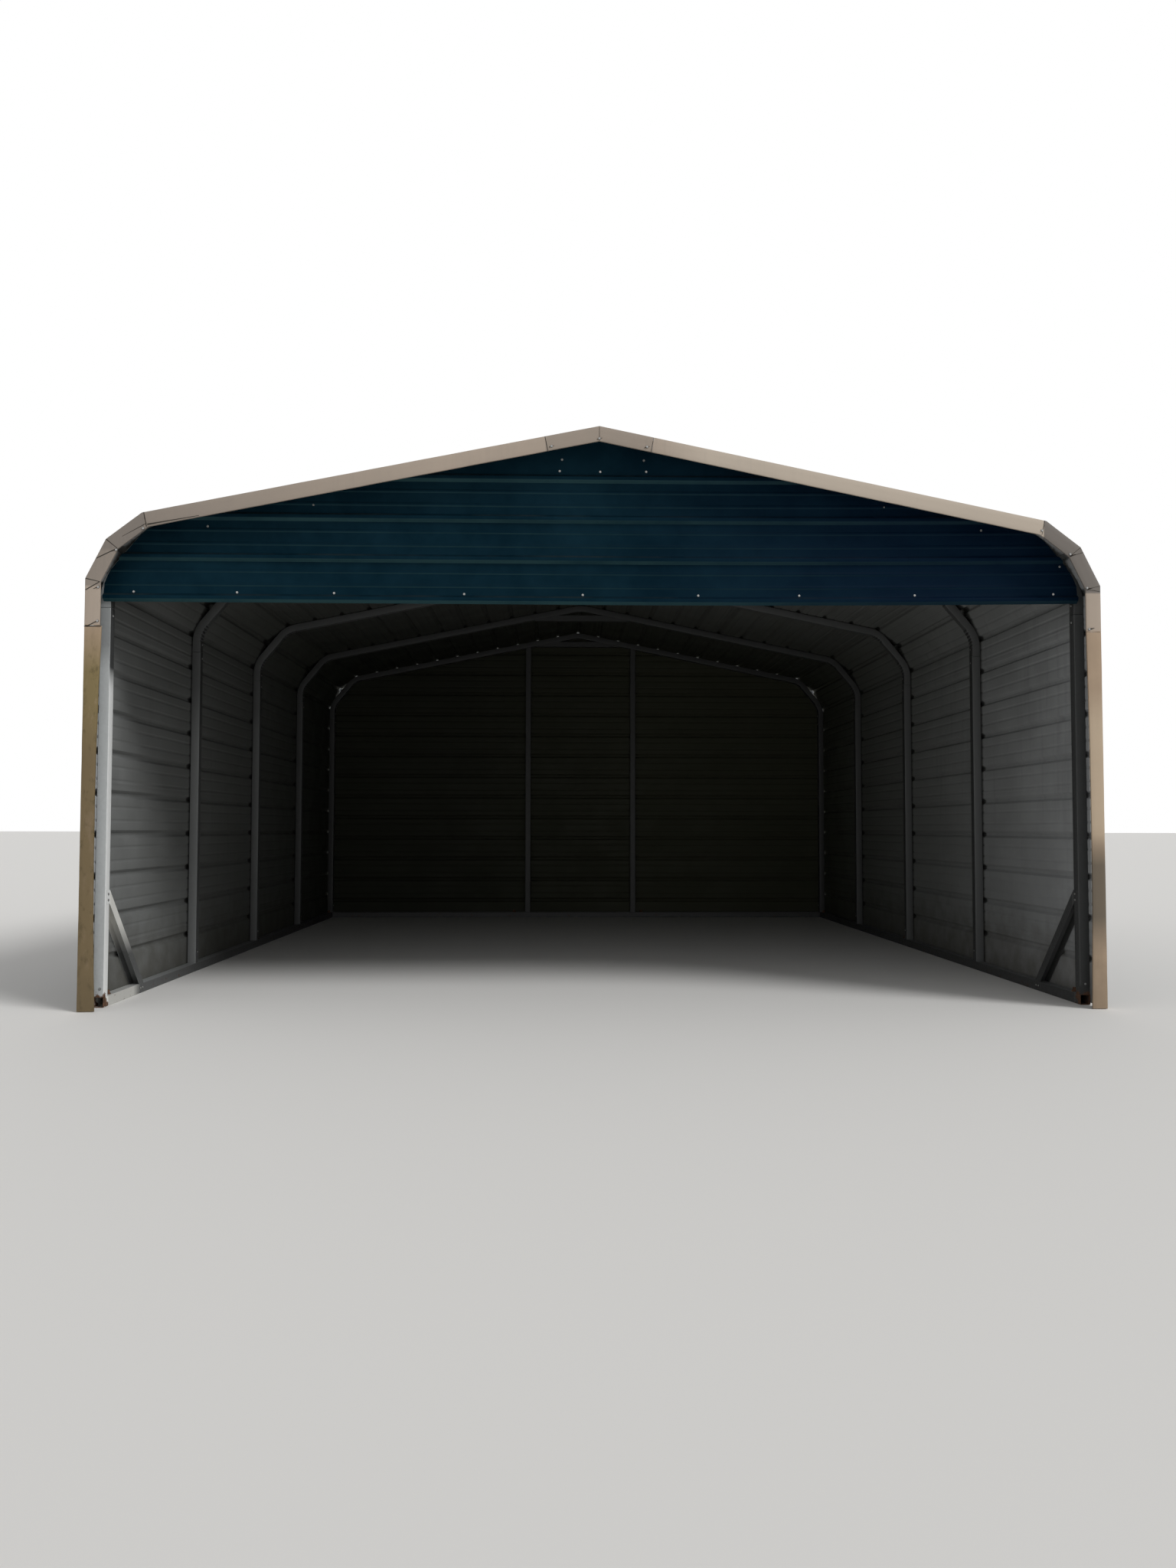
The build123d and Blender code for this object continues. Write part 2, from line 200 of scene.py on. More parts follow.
def station_line():
    """Rib stations up the left wall, over the corner, the roof and down the right wall."""
    pitch = settings("sheeting").pitch
    corner = LEG_TOP + CORNER_RISE
    turn = (math.pi / 2 - ROOF_ANGLE) / 3
    wall_ribs = math.floor((corner - RAIL_TOP - pitch / 4) / pitch)
    line = [Vector((-HALF_WIDTH, corner - (wall_ribs - k) * pitch)) for k in range(wall_ribs + 1)]
    line.append(line[-1] + facing(turn) * pitch)
    line.append(line[-1] + facing(2 * turn) * pitch)
    eave, length = line[-1], -line[-1].x / math.cos(ROOF_ANGLE)
    count = round(length / pitch)
    line += [eave + SLOPE * (length * k / count) for k in range(1, count + 1)]
    ridge = len(line) - 1
    return line + turned_back(line[:-1]), wall_ribs, ridge


def bow_line(inset, steps=16):
    """Points along a bow, closely spaced round its bends, inside its outer face by the inset."""
    line, wall_ribs, ridge = station_line()
    bend, turn = (math.pi / 2 - ROOF_ANGLE) / 2, (math.pi / 2 - ROOF_ANGLE) / 3
    shift = EAVE_BEND * (math.tan(bend / 2) - math.tan(turn / 2)) - 0.0003
    left = [Vector((-HALF_WIDTH, LEG_TOP)), line[wall_ribs] + UP * shift, line[wall_ribs + 2] - SLOPE * shift]
    path = moved_out(left + [line[ridge]] + turned_back(left), -inset)
    points = [path[0]]
    for i in range(1, len(path) - 1):
        at_ridge = i == len(left)
        before, after = direction(path, i - 1), direction(path, i)
        angle = math.acos(before.dot(after))
        radius = (RIDGE_BEND if at_ridge else EAVE_BEND) - inset
        centre = path[i] - before * (radius * math.tan(angle / 2)) - left_of(before) * radius
        count = 8 if at_ridge else steps
        for step in range(count + 1):
            turned = angle * step / count
            ray = left_of(before) * math.cos(turned) + before * math.sin(turned)
            points.append(centre + ray * radius)
    points.append(path[-1])
    return points


# Meshes


def place_object(name, content):
    """New object at the origin that holds a mesh, a light or a camera."""
    made = bpy.data.objects.new(name, content)
    bpy.context.scene.collection.objects.link(made)
    return made


def add_piece(name, shape, materials):
    """New closed mesh at the origin from points, faces and marks, turned outwards and smoothed."""
    points, faces, marks = shape
    mesh = bpy.data.meshes.new(name)
    mesh.from_pydata(points, [], faces)
    for material in materials:
        mesh.materials.append(bpy.data.materials[material])
    mesh.polygons.foreach_set("material_index", marks)
    work = bmesh.new()
    work.from_mesh(mesh)
    if work.calc_volume(signed=True) < 0:
        bmesh.ops.reverse_faces(work, faces=work.faces)
    work.to_mesh(mesh)
    work.free()
    mesh.shade_smooth()
    mesh.set_sharp_from_angle(angle=math.radians(35))
    return place_object(name, mesh)


def sheet_metal(inner, outer, rings):
    """Points, faces and marks of a thin sheet whose section runs through the rings.

    Each ring turns a point of the section into a place. Faces of the inner skin are marked 1.
    """
    section = inner + list(reversed(outer))
    size, half = len(section), len(inner)
    points = [ring(p) for ring in rings for p in section]
    faces, marks = [], []
    for r in range(len(rings) - 1):
        for i in range(size):
            j = (i + 1) % size
            faces.append((r * size + i, r * size + j, (r + 1) * size + j, (r + 1) * size + i))
            marks.append(1 if i < half - 1 else 0)
    for base, flip in ((0, True), ((len(rings) - 1) * size, False)):
        for i in range(half - 1):
            cap = (base + i, base + i + 1, base + size - 2 - i, base + size - 1 - i)
            faces.append(cap[::-1] if flip else cap)
            marks.append(0)
    return points, faces, marks


def joined(parts):
    """Several sets of points, faces and marks as one."""
    points, faces, marks = [], [], []
    for more_points, more_faces, more_marks in parts:
        start = len(points)
        points += more_points
        faces += [tuple(i + start for i in face) for face in more_faces]
        marks += more_marks
    return points, faces, marks


def finish_piece(piece, nodes=()):
    """Fixes a piece to the frame in place of its CAD nodes."""
    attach(piece, "root")
    if nodes:
        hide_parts(*nodes)


# Node trees


def fill(tree, sockets, values):
    """Links or sets each socket that is named."""
    for name, value in values.items():
        if isinstance(value, bpy.types.NodeSocket):
            tree.links.new(value, sockets[name])
        else:
            sockets[name].default_value = value


def shaded(colour, factor=1.0):
    """A colour made darker or lighter, with its alpha."""
    return tuple(c * factor for c in colour[:3]) + (1.0,)


class Nodes:
    """A node tree, with short ways to add to it."""

    def __init__(self, tree):
        self.tree = tree

    def add(self, kind, inputs=None, **options):
        """Adds a node with its options and inputs, and gives its outputs."""
        made = self.tree.nodes.new(kind)
        count = len(self.tree.nodes)
        made.location = (190 * (count % 12), -260 * (count // 12))
        for option, value in options.items():
            setattr(made, option, value)
        fill(self.tree, made.inputs, inputs or {})
        return made.outputs

    def give(self, **results):
        """Puts the results out of a group under their names."""
        kinds = {"VALUE": "Float", "RGBA": "Color", "GEOMETRY": "Geometry"}
        for name, value in results.items():
            kind = "NodeSocket" + kinds[value.type]
            self.tree.interface.new_socket(name, in_out="OUTPUT", socket_type=kind)
        fill(self.tree, self.tree.nodes.new("NodeGroupOutput").inputs, results)

    def math(self, operation, first, *others):
        """One operation run through all the values."""
        for value in others or (0.0,):
            first = self.add("ShaderNodeMath", {0: first, 1: value}, operation=operation)[0]
        return first

    def times(self, *values):
        """The product of the values."""
        return self.math("MULTIPLY", *values)

    def most(self, *values):
        """The largest of the values."""
        return self.math("MAXIMUM", *values)

    def span(self, value, low, high, to_low=0.0, to_high=1.0):
        """Spreads a range of values over another, held at its ends."""
        ends = {"Value": value, "From Min": low, "From Max": high, "To Min": to_low, "To Max": to_high}
        return self.add("ShaderNodeMapRange", ends)["Result"]

    def mix(self, share, *colours):
        """One colour mixed into another."""
        first, second = [c if isinstance(c, bpy.types.NodeSocket) else shaded(c) for c in colours]
        return self.add("ShaderNodeMix", {0: share, 6: first, 7: second}, data_type="RGBA")[2]

    def noise(self, vector, scale, detail=4.0, roughness=0.55, stretch=None):
        """Noise over a surface, stretched along the axes where asked."""
        if stretch:
            vector = self.add("ShaderNodeMapping", {"Vector": vector, "Scale": stretch})[0]
        inputs = {"Vector": vector, "Scale": scale, "Detail": detail, "Roughness": roughness}
        return self.add("ShaderNodeTexNoise", inputs)["Fac"]

    def apart(self, vector):
        """The three parts of a vector."""
        return self.add("ShaderNodeSeparateXYZ", {0: vector})

    def normal(self):
        """The three parts of the surface's outward direction."""
        return self.apart(self.add("ShaderNodeNewGeometry")["Normal"])

    def named(self, name, kind):
        """A stored attribute of the geometry."""
        return self.add("GeometryNodeInputNamedAttribute", {"Name": name}, data_type=kind)["Attribute"]

    def store(self, geometry, name, value, kind, domain="POINT"):
        """Stores an attribute on the geometry."""
        values = {"Geometry": geometry, "Name": name, "Value": value}
        return self.add("GeometryNodeStoreNamedAttribute", values, data_type=kind, domain=domain)[0]


def node_group(name, kind, inputs):
    """New node group and its named inputs, each with its kind and default."""
    tree = bpy.data.node_groups.new(name, kind)
    for label, socket, value in inputs:
        made = tree.interface.new_socket(label, in_out="INPUT", socket_type="NodeSocket" + socket)
        if value is not None:
            made.default_value = value
    return Nodes(tree), tree.nodes.new("NodeGroupInput").outputs


def shader_group(name, values=None):
    """New shader node group with a Vector input before its values."""
    floats = [(label, "Float", value) for label, value in (values or {}).items()]
    return node_group(name, "ShaderNodeTree", [("Vector", "Vector", None)] + floats)


def weathering_group():
    """Chalky mottling, rain streaks that run down, and dirt splashed up from the ground."""
    nodes, given = shader_group("Weathering", {"Splash height": 0.35, "Streak width": 22.0})
    where = given["Vector"]
    fine = nodes.noise(where, given["Streak width"], 3.0, 0.5, (1.0, 1.0, 0.07))
    broad = nodes.noise(where, 1.7, 3.0, 0.5, (1.0, 1.0, 0.3))
    wander = nodes.span(nodes.noise(where, 9.0), 0.3, 0.7, -0.12, 0.12)
    ragged = nodes.math("ADD", nodes.apart(where)["Z"], wander)
    nodes.give(
        Mottle=nodes.span(nodes.noise(where, 3.1, 6.0, 0.62), 0.36, 0.66),
        Streaks=nodes.times(nodes.span(fine, 0.5, 0.72), nodes.span(broad, 0.42, 0.62)),
        Splash=nodes.span(nodes.math("DIVIDE", ragged, given["Splash height"]), 0.1, 1.0, 1.0, 0.0),
    )


def rust_group():
    """Rust that spreads from patches, in two tones, with a rough height."""
    nodes, given = shader_group("Rust", {"Amount": 0.3, "Scale": 30.0})
    patches = nodes.noise(given["Vector"], given["Scale"], 8.0, 0.68)
    edge = nodes.math("SUBTRACT", 0.86, nodes.times(given["Amount"], 0.62))
    tone = nodes.noise(given["Vector"], 110.0, 5.0, 0.6)
    nodes.give(
        Mask=nodes.span(nodes.math("SUBTRACT", patches, edge), 0.0, 0.07),
        Colour=nodes.mix(nodes.span(tone, 0.35, 0.65), (0.042, 0.020, 0.012), (0.165, 0.078, 0.038)),
        Height=tone,
    )


def inside_shade_group():
    """Painted shade that deepens towards the back of the shelter, most of all on the left and under the roof.
    """
    nodes, given = shader_group("Sheltered grime", {"Left": 0.5, "Under roof": 0.2})
    x, y, z = nodes.apart(given["Vector"])
    depth = nodes.span(y, FRAME_FRONT, FRAME_BACK)
    left = nodes.times(nodes.span(x, 1.0, -2.2), given["Left"])
    high = nodes.times(nodes.span(z, 2.15, 2.6), given["Under roof"])
    least = nodes.math("ADD", left, high)
    mask = nodes.math("ADD", nodes.times(depth, nodes.math("SUBTRACT", 1.0, least)), least)
    indoors = nodes.times(
        nodes.span(y, FRAME_BACK + 0.03, FRAME_BACK + 0.04, 1.0, 0.0),
        nodes.span(y, FRAME_FRONT - 0.01, FRAME_FRONT + 0.04),
    )
    nodes.give(Mask=nodes.times(mask, indoors))


def ledge_group():
    """Painted light from the ground on faces that look down under the ribs, painted shade on faces that look
    up above them, and a blotched roof.
    """
    nodes, given = shader_group("Ledges")
    rise, where = nodes.normal()["Z"], given["Vector"]
    _, y, z = nodes.apart(where)
    patchy = nodes.span(nodes.noise(where, 6.0, 5.0, 0.6, (0.35, 0.35, 1.0)), 0.25, 0.55, 0.45, 1.0)
    depth = nodes.math("ABSOLUTE", y)
    ends = nodes.times(
        nodes.span(depth, FRAME_BACK - 0.004, FRAME_BACK - 0.002),
        nodes.span(depth, FRAME_BACK + 0.024, FRAME_BACK + 0.03, 1.0, 0.0),
    )
    walls = nodes.most(ends, nodes.span(z, LEG_TOP + 0.12, LEG_TOP + 0.05))
    blotches = nodes.span(nodes.noise(where, 1.9, 7.0, 0.65, (1.0, 0.5, 1.0)), 0.42, 0.68)
    # Painted light on the undersides and painted shade on the tops, on the walls only
    nodes.give(
        Chalk=nodes.times(nodes.span(rise, -0.15, -0.6), walls, patchy),
        Washed=nodes.times(nodes.span(rise, 0.12, 0.7), walls),
        Roof=nodes.times(blotches, nodes.span(rise, 0.3, 0.9)),
    )


def spangle_group():
    """Zinc crystals: flat grains of slightly different grey."""
    nodes, given = shader_group("Zinc spangle", {"Scale": 90.0})
    grain = {"Vector": given["Vector"], "Scale": given["Scale"], "Randomness": 1.0}
    cell = nodes.add("ShaderNodeTexVoronoi", grain)["Color"]
    nodes.give(Value=nodes.add("ShaderNodeSeparateColor", {0: cell})[0])


# Finishes


class Finish(Nodes):
    """A material in the making, on the coordinates of the object's own space."""

    def __init__(self, name):
        self.material = bpy.data.materials.new(name)
        self.material.use_nodes = True
        super().__init__(self.material.node_tree)
        self.shader = next(n for n in self.tree.nodes if n.type == "BSDF_PRINCIPLED")
        self.where = self.add("ShaderNodeTexCoord")["Object"]

    def group(self, name, inputs=None):
        """Places one of the shared shader groups."""
        inputs = {"Vector": self.where, **(inputs or {})}
        return self.add("ShaderNodeGroup", inputs, node_tree=bpy.data.node_groups[name])

    def lay(self, base, *layers):
        """Lays colours over a base, each in its own share."""
        for share, colour in layers:
            base = self.mix(share, base, colour)
        self.surface({"Base Color": base})

    def surface(self, values, height=None, distance=0.0, strength=0.5):
        """Sets the shader's inputs and, from a height, its bump."""
        if height is not None:
            bump = {"Height": height, "Distance": distance, "Strength": strength}
            values = {**values, "Normal": self.add("ShaderNodeBump", bump)[0]}
        fill(self.tree, self.shader.inputs, values)

    def enamel(self, mottle, smoothest, roughest, shine, grain=420.0, strength=0.25):
        """Baked paint: dull where it is mottled, with a fine grain."""
        values = {"Roughness": self.span(mottle, 0.0, 1.0, smoothest, roughest), "Specular IOR Level": shine}
        self.surface(values, self.noise(self.where, grain, 2.0), 0.0004, strength)


def green_paint(size):
    """Dark green baked enamel of the outside, mottled and dusty, with painted light under its ribs, painted
    shade above them, and painted shade on the gable's right half.
    """
    paint, colour = Finish("green_sheet_paint"), size.outside_colour
    weather = paint.group("Weathering", {"Splash height": 0.5})
    ledges = paint.group("Ledges")
    # Painted shade on the gable's right half: darker and bluer
    gable = paint.span(paint.normal()["Y"], -0.2, -0.4)
    right = paint.span(paint.apart(paint.where)["X"], 0.0, 1.7, 0.0, 0.62)
    paint.lay(
        shaded(colour, 0.82),
        (weather["Mottle"], shaded(colour, 1.22)),
        (paint.times(weather["Mottle"], 0.03), (0.10, 0.13, 0.12)),
        # Painted light under the ribs and painted shade above them
        (paint.times(ledges["Chalk"], 0.7), (0.032, 0.078, 0.085)),
        (paint.times(ledges["Washed"], 0.6), shaded(colour, 0.3)),
        (paint.times(ledges["Roof"], 0.3), (0.050, 0.062, 0.058)),
        (paint.times(weather["Splash"], 0.45), (0.085, 0.07, 0.05)),
        (paint.times(gable, right), (0.0, 0.004, 0.019)),
    )
    paint.enamel(weather["Mottle"], 0.52, 0.66, 0.04)


def white_paint(size):
    """Off-white backing paint of the inside, splashed with dirt low down, with painted shade towards the back
    and beside the frames, and painted light on the overhangs past the end frames.
    """
    paint, colour = Finish("off_white_backing"), size.inside_colour
    weather = paint.group("Weathering", {"Splash height": 0.45})
    inside_shade = paint.group("Sheltered grime", {"Left": 0.5, "Under roof": 0.2})["Mask"]
    x, y, _ = paint.apart(paint.where)
    # Painted shade towards the back, in a darker tone on the left
    tone = paint.mix(paint.span(x, -1.4, 0.8), (0.032, 0.034, 0.023), (0.056, 0.059, 0.038))
    # Painted shadow in a band beside each frame but the end ones
    bay = FRAME_YS[1] - FRAME_YS[0]
    off_frame = paint.math("PINGPONG", paint.math("SUBTRACT", y, FRAME_YS[0]), bay / 2)
    beside = paint.span(off_frame, TUBE / 2 + 0.006, TUBE / 2 + 0.034, 0.85, 0.0)
    depth = paint.math("ABSOLUTE", y)
    between = paint.span(depth, FRAME_BACK - TUBE - 0.03, FRAME_BACK - TUBE - 0.04)
    # Painted light on the overhangs past the end frames
    lit_overhang = paint.span(depth, FRAME_BACK + 0.03, FRAME_BACK + 0.04, 0.0, 0.95)
    paint.lay(
        shaded(colour, 0.9),
        (weather["Mottle"], shaded(colour, 1.06)),
        (paint.times(weather["Streaks"], 0.3), shaded(colour, 0.55)),
        (paint.times(weather["Splash"], 0.55), (0.09, 0.075, 0.055)),
        (inside_shade, tone),
        (paint.times(beside, between), (0.012, 0.012, 0.011)),
        (lit_overhang, shaded(colour, 2.55)),
    )
    paint.enamel(weather["Mottle"], 0.5, 0.66, 0.15)


def tan_paint(size):
    """Tan trim paint, with olive algae low down on the left leg, dirt in the streaks, painted shade on the
    upper corner folds, the left slope and where the right leg's face twists, and painted light on the right
    slope.
    """
    paint, colour = Finish("tan_trim_paint"), size.colour
    weather = paint.group("Weathering", {"Splash height": 0.4, "Streak width": 60.0})
    x, y, z = paint.apart(paint.where)
    span, times = paint.span, paint.times
    # Left leg: algae all the way up, brown soil at its foot and dark spots
    left_leg = span(x, -HALF_WIDTH + 0.12, -HALF_WIDTH + 0.09)
    blotches = span(paint.noise(paint.where, 7.0, 6.0, 0.7, (2.2, 1.0, 0.7)), 0.22, 0.44)
    algae = times(left_leg, span(z, TRIM_SEAM + 0.02, TRIM_SEAM - 0.25), blotches)
    brown = times(left_leg, span(z, TRIM_SEAM - 0.4, TRIM_SEAM - 0.7, 0.0, 0.7))
    spots = span(paint.noise(paint.where, 16.0, 8.0, 0.7, (1.6, 1.0, 0.8)), 0.53, 0.66)
    # Corners, slopes and ridge: greyer above the legs, painted shade on the upper folds of the corners and on
    # the left slope, a darker ridge, and painted light on the right slope
    corners = span(z, TRIM_SEAM, TRIM_SEAM + 0.01, 0.0, 0.42)
    side = paint.math("ABSOLUTE", x)
    fold_end, slope_start = HALF_WIDTH - 0.286, HALF_WIDTH - 0.29
    folds = times(
        paint.most(span(z, TRIM_SEAM + 0.4, TRIM_SEAM + 0.42, 0.42, 0.6), span(x, 0.0, 0.1, 0.0, 0.73)),
        span(z, TRIM_SEAM + 0.21, TRIM_SEAM + 0.22),
        span(side, slope_start, fold_end),
    )
    slopes = span(side, fold_end, slope_start)
    left_slope_shade = times(slopes, span(x, -2.5, -0.9, 0.45, 0.0))
    ridge = span(side, RIDGE_TRIM_HALF + 0.001, RIDGE_TRIM_HALF - 0.001, 0.0, 0.25)
    # Right leg: lighter half-way up, and painted shade where its face twists
    right_leg = times(span(x, 2.0, 2.1), span(y, 0.5, -0.5))
    lighter_middle = times(span(z, 0.85, 1.0), span(z, 1.75, 1.55), right_leg, 0.36)
    twist_shade = times(span(z, 0.95, 0.78), span(z, 0.28, 0.5), right_leg, 0.85)
    paint.lay(
        shaded(colour, 0.93),
        (weather["Mottle"], shaded(colour, 1.05)),
        (times(weather["Streaks"], 0.25), shaded(colour, 0.5)),
        (times(algae, 0.95), size.stain_colour),
        (brown, (0.165, 0.118, 0.066)),
        (times(spots, algae, 0.55), shaded(size.stain_colour, 0.35)),
        (times(weather["Splash"], 0.35), (0.11, 0.085, 0.05)),
        (corners, (0.47, 0.44, 0.41)),
        # Painted shade on the upper corner folds and the left slope, and a darker ridge
        (paint.most(folds, left_slope_shade, ridge), (0.10, 0.10, 0.10)),
        # Painted light on the right slope
        (times(slopes, span(x, 0.3, 0.6, 0.0, 0.4)), (0.72, 0.64, 0.53)),
        (lighter_middle, (0.74, 0.62, 0.46)),
        # Painted shade where the right leg's face twists
        (twist_shade, (0.112, 0.096, 0.072)),
    )
    paint.enamel(weather["Mottle"], 0.42, 0.55, 0.25, 300.0, 0.3)


def zinc_coat(size):
    """Galvanised tube: grey spangle, painted shade that dulls all but the lower left front leg, painted
    sunlight on that leg, its brace and the end of its rail, and rust at the feet and the open rail ends.
    """
    coat, colour = Finish("zinc_coated_tube"), size.zinc_colour
    weather = coat.group("Weathering", {"Splash height": 0.22, "Streak width": 45.0})
    grain = coat.group("Zinc spangle", {"Scale": 85.0})["Value"]
    inside_shade = coat.group("Sheltered grime", {"Left": 0.1, "Under roof": 0.35})["Mask"]
    x, y, z = coat.apart(coat.where)
    facing_x = coat.normal()["X"]
    span, times, most = coat.span, coat.times, coat.most
    # Parts of the frame, and painted shade on every frame past the first
    leg_back = FRAME_FRONT + TUBE
    first_frame = span(y, leg_back, leg_back + 0.02, 1.0, 0.0)
    shade_past_front = span(y, leg_back, leg_back + 0.02, 0.0, 0.62)
    other_frames = span(shade_past_front, 0.1, 0.5)
    left_wall, left_half = span(x, -2.5, -2.6), span(x, 0.5, -0.5)
    inner_face = times(span(facing_x, 0.5, 0.9), first_frame, left_wall)
    # Painted shade, as duller zinc, on all but the lower left front leg: most of all on the right front leg,
    # the bows, the tops of the legs and the top of the left front leg's inner face
    bows = times(span(z, LEG_TOP, LEG_TOP + 0.004, 0.0, 0.86), other_frames)
    dull = most(shade_past_front, span(x, 0.0, 1.0, 0.0, 0.86), bows, span(inside_shade, 0.15, 0.85, 0.6, 0.96))
    # Painted sunlight that keeps the lower left front leg bright
    painted_sun = times(first_frame, left_half, span(z, 1.68, 1.98, 1.0, 0.05))
    leg_top_shade = times(span(z, 1.4, 1.95, 0.62, 0.87), other_frames, left_half)
    dull = most(
        coat.math("SUBTRACT", dull, painted_sun),
        times(first_frame, span(x, 1.5, 2.0)),
        0.14,
        times(inner_face, span(z, 1.72, 1.86)),
        leg_top_shade,
    )
    # Painted shade on the sides that face inwards, and painted sunlight on the left brace and the end of its
    # rail
    flank_shade = times(span(times(facing_x, x), -1.5, -2.4), other_frames, 0.65)
    brace = times(
        span(y, leg_back, leg_back + 0.005),
        span(y, BRACE_END + 0.05, BRACE_END + 0.02),
        span(z, BRACE_TOP * 0.4, BRACE_TOP * 0.7, 0.0, 0.85),
    )
    rail = times(
        span(y, BRACE_END - 0.05, BRACE_END - 0.15, 0.0, 0.6), span(z, RAIL_TOP + 0.002, RAIL_TOP - 0.002)
    )
    # Rust low down, most of all at the open ends of the rails
    rail_end = times(span(y, FRAME_FRONT, FRAME_FRONT + 0.09, 0.5, 0.0), span(z, 0.055, 0.1, 1.0, 0.0))
    amount = coat.math("ADD", span(z, 0.02, 0.16, 0.42, 0.1), rail_end)
    rust = coat.group("Rust", {"Amount": amount, "Scale": 26.0})
    coat.lay(
        shaded(colour, 0.96),
        (grain, shaded(colour, 1.03)),
        (times(weather["Streaks"], 0.3), shaded(colour, 1.25)),
        (times(weather["Mottle"], 0.14), shaded(colour, 0.6)),
        # Painted shade: duller, darker zinc
        (dull, shaded(colour, 0.08)),
        # Painted sunlight on the lower inner face of the left front leg
        (times(inner_face, span(z, 1.86, 1.72, 0.0, 0.8)), (0.93, 0.94, 0.93)),
        (flank_shade, (0.014, 0.014, 0.014)),
        # Painted sunlight on the left brace and the end of its rail
        (times(most(brace, rail), left_wall), (0.90, 0.89, 0.84)),
        (rust["Mask"], rust["Colour"]),
    )
    rough = coat.math("ADD", span(grain, 0.0, 1.0, 0.5, 0.62), times(rust["Mask"], 0.3))
    metal = span(rust["Mask"], 0.0, 1.0, 0.12, 0.0)
    coat.surface({"Metallic": metal, "Roughness": rough}, times(rust["Mask"], rust["Height"]), 0.001)


def screw_metal(size):
    """Zinc-plated screw heads, some of them beginning to rust."""
    plate, colour = Finish("screw_zinc"), size.head_colour
    rust = plate.group("Rust", {"Amount": 0.34, "Scale": 14.0})
    plate.lay(
        shaded(colour, 0.85),
        (rust["Height"], shaded(colour, 1.1)),
        (rust["Mask"], rust["Colour"]),
    )
    metal, rough = plate.span(rust["Mask"], 0.0, 1.0, 0.6, 0.0), plate.span(rust["Mask"], 0.0, 1.0, 0.34, 0.8)
    plate.surface({"Metallic": metal, "Roughness": rough})


def rusted_steel():
    """Bare anchors, rusted all over."""
    steel = Finish("rusted_anchor")
    rust = steel.group("Rust", {"Amount": 1.0, "Scale": 40.0})
    rough = steel.span(rust["Height"], 0.3, 0.7, 0.75, 0.95)
    steel.surface({"Base Color": rust["Colour"], "Roughness": rough}, rust["Height"], 0.0015, 0.7)


def seam_dirt():
    """Painted shadow and dirt along the folds and the seams of the trim, and painted shadow beside its
    screws.
    """
    dirt = Finish("seam_dirt")
    grain = dirt.noise(dirt.where, 90.0, 5.0, 0.7)
    dirt.lay((0.018, 0.015, 0.012), (dirt.span(grain, 0.35, 0.65), (0.06, 0.05, 0.038)))
    dirt.surface({"Roughness": dirt.span(grain, 0.3, 0.7, 0.8, 0.95)}, grain, 0.0005, 0.4)


def washer_rubber():
    """Black sealing washers, chalked by the sun."""
    rubber = Finish("washer_rubber")
    rubber.lay((0.012, 0.012, 0.012), (rubber.noise(rubber.where, 160.0), (0.05, 0.05, 0.048)))
    rubber.surface({"Roughness": 0.8})


# Sheeting


def rib_points(path, index, lift=0.0):
    """Inner outline of a major rib over a station, lifted and wider where it nests on another."""
    size = settings("sheeting")
    nest = lift * math.tan(math.atan2(size.rib_height, size.rib_foot - size.rib_top) / 2)
    before, after = both_ways(path, index)
    crown = lift + size.rib_height
    foot, top = size.rib_foot + nest, size.rib_top + nest
    station = path[index]
    up = [station - before * foot + left_of(before) * lift, station - before * top + left_of(before) * crown]
    over = [station + mitre(path, index) * crown] if before.angle(after) > 0.01 else []
    down = [station + after * top + left_of(after) * crown, station + after * foot + left_of(after) * lift]
    return up + over + down


def minor_points(path, index):
    """Two shallow stiffening ridges between a station and the next."""
    size = settings("sheeting")
    along = direction(path, index)
    foot, height = along * size.minor_foot, left_of(along) * size.minor_height
    crown = along * size.minor_foot * 0.3
    middles = [path[index].lerp(path[index + 1], share) for share in (1 / 3, 2 / 3)]
    return [p for m in middles for p in (m - foot, m - crown + height, m + crown + height, m + foot)]


def sheet_line(path, first, last, first_end, last_end):
    """Inner face of one ribbed sheet; each end is over, under, foot or a height, as it is lapped or cut."""
    into, out_of = direction(path, first), direction(path, last - 1)
    lip, tail = settings("sheeting").rib_foot + LAP_LIFT + LAP_LIP, LAP_TAIL + LAP_LIP
    points = []
    if first_end == "over":
        lift = left_of(into) * LAP_LIFT
        points.append(path[first] - into * lip + lift)
        points += rib_points(path, first, LAP_LIFT)
        points += [path[first] + into * tail + lift, path[first] + into * (tail + JOGGLE)]
    elif first_end == "foot":
        points += rib_points(path, first)
    else:
        points += [Vector((path[first].x, first_end))] + rib_points(path, first)
    for index in range(first, last):
        points += minor_points(path, index)
        if index + 1 < last:
            points += rib_points(path, index + 1)
    if last_end == "over":
        lift = left_of(out_of) * LAP_LIFT
        points += [path[last] - out_of * (tail + JOGGLE), path[last] - out_of * tail + lift]
        points += rib_points(path, last, LAP_LIFT)
        points.append(path[last] + out_of * lip + lift)
    elif last_end == "under":
        points += rib_points(path, last) + [path[last] + out_of * LAP_TAIL]
    else:
        points += rib_points(path, last) + [Vector((path[last].x, last_end))]
    return points


def shared_laps(first, last):
    """Stations at which sheets of about the usual width share out a run of ribs."""
    count = round((last - first) / SHEET_PITCHES)
    return [first + round((last - first) * k / count) for k in range(count + 1)]


def outward(p):
    """Unit direction out of the building at a point of its section, turned smoothly at eave and ridge."""
    side = -1 if p.x < 0 else 1
    off = p - Vector((side * (HALF_WIDTH - TURN_INWARDS), LEG_TOP - TURN_DOWN))
    steepest = math.pi / 2 - ROOF_ANGLE * min(1.0, abs(p.x) / RIDGE_TURN_HALF)
    angle = max(0.0, min(steepest, math.atan2(off.y, side * off.x)))
    return Vector((side * math.cos(angle), math.sin(angle)))


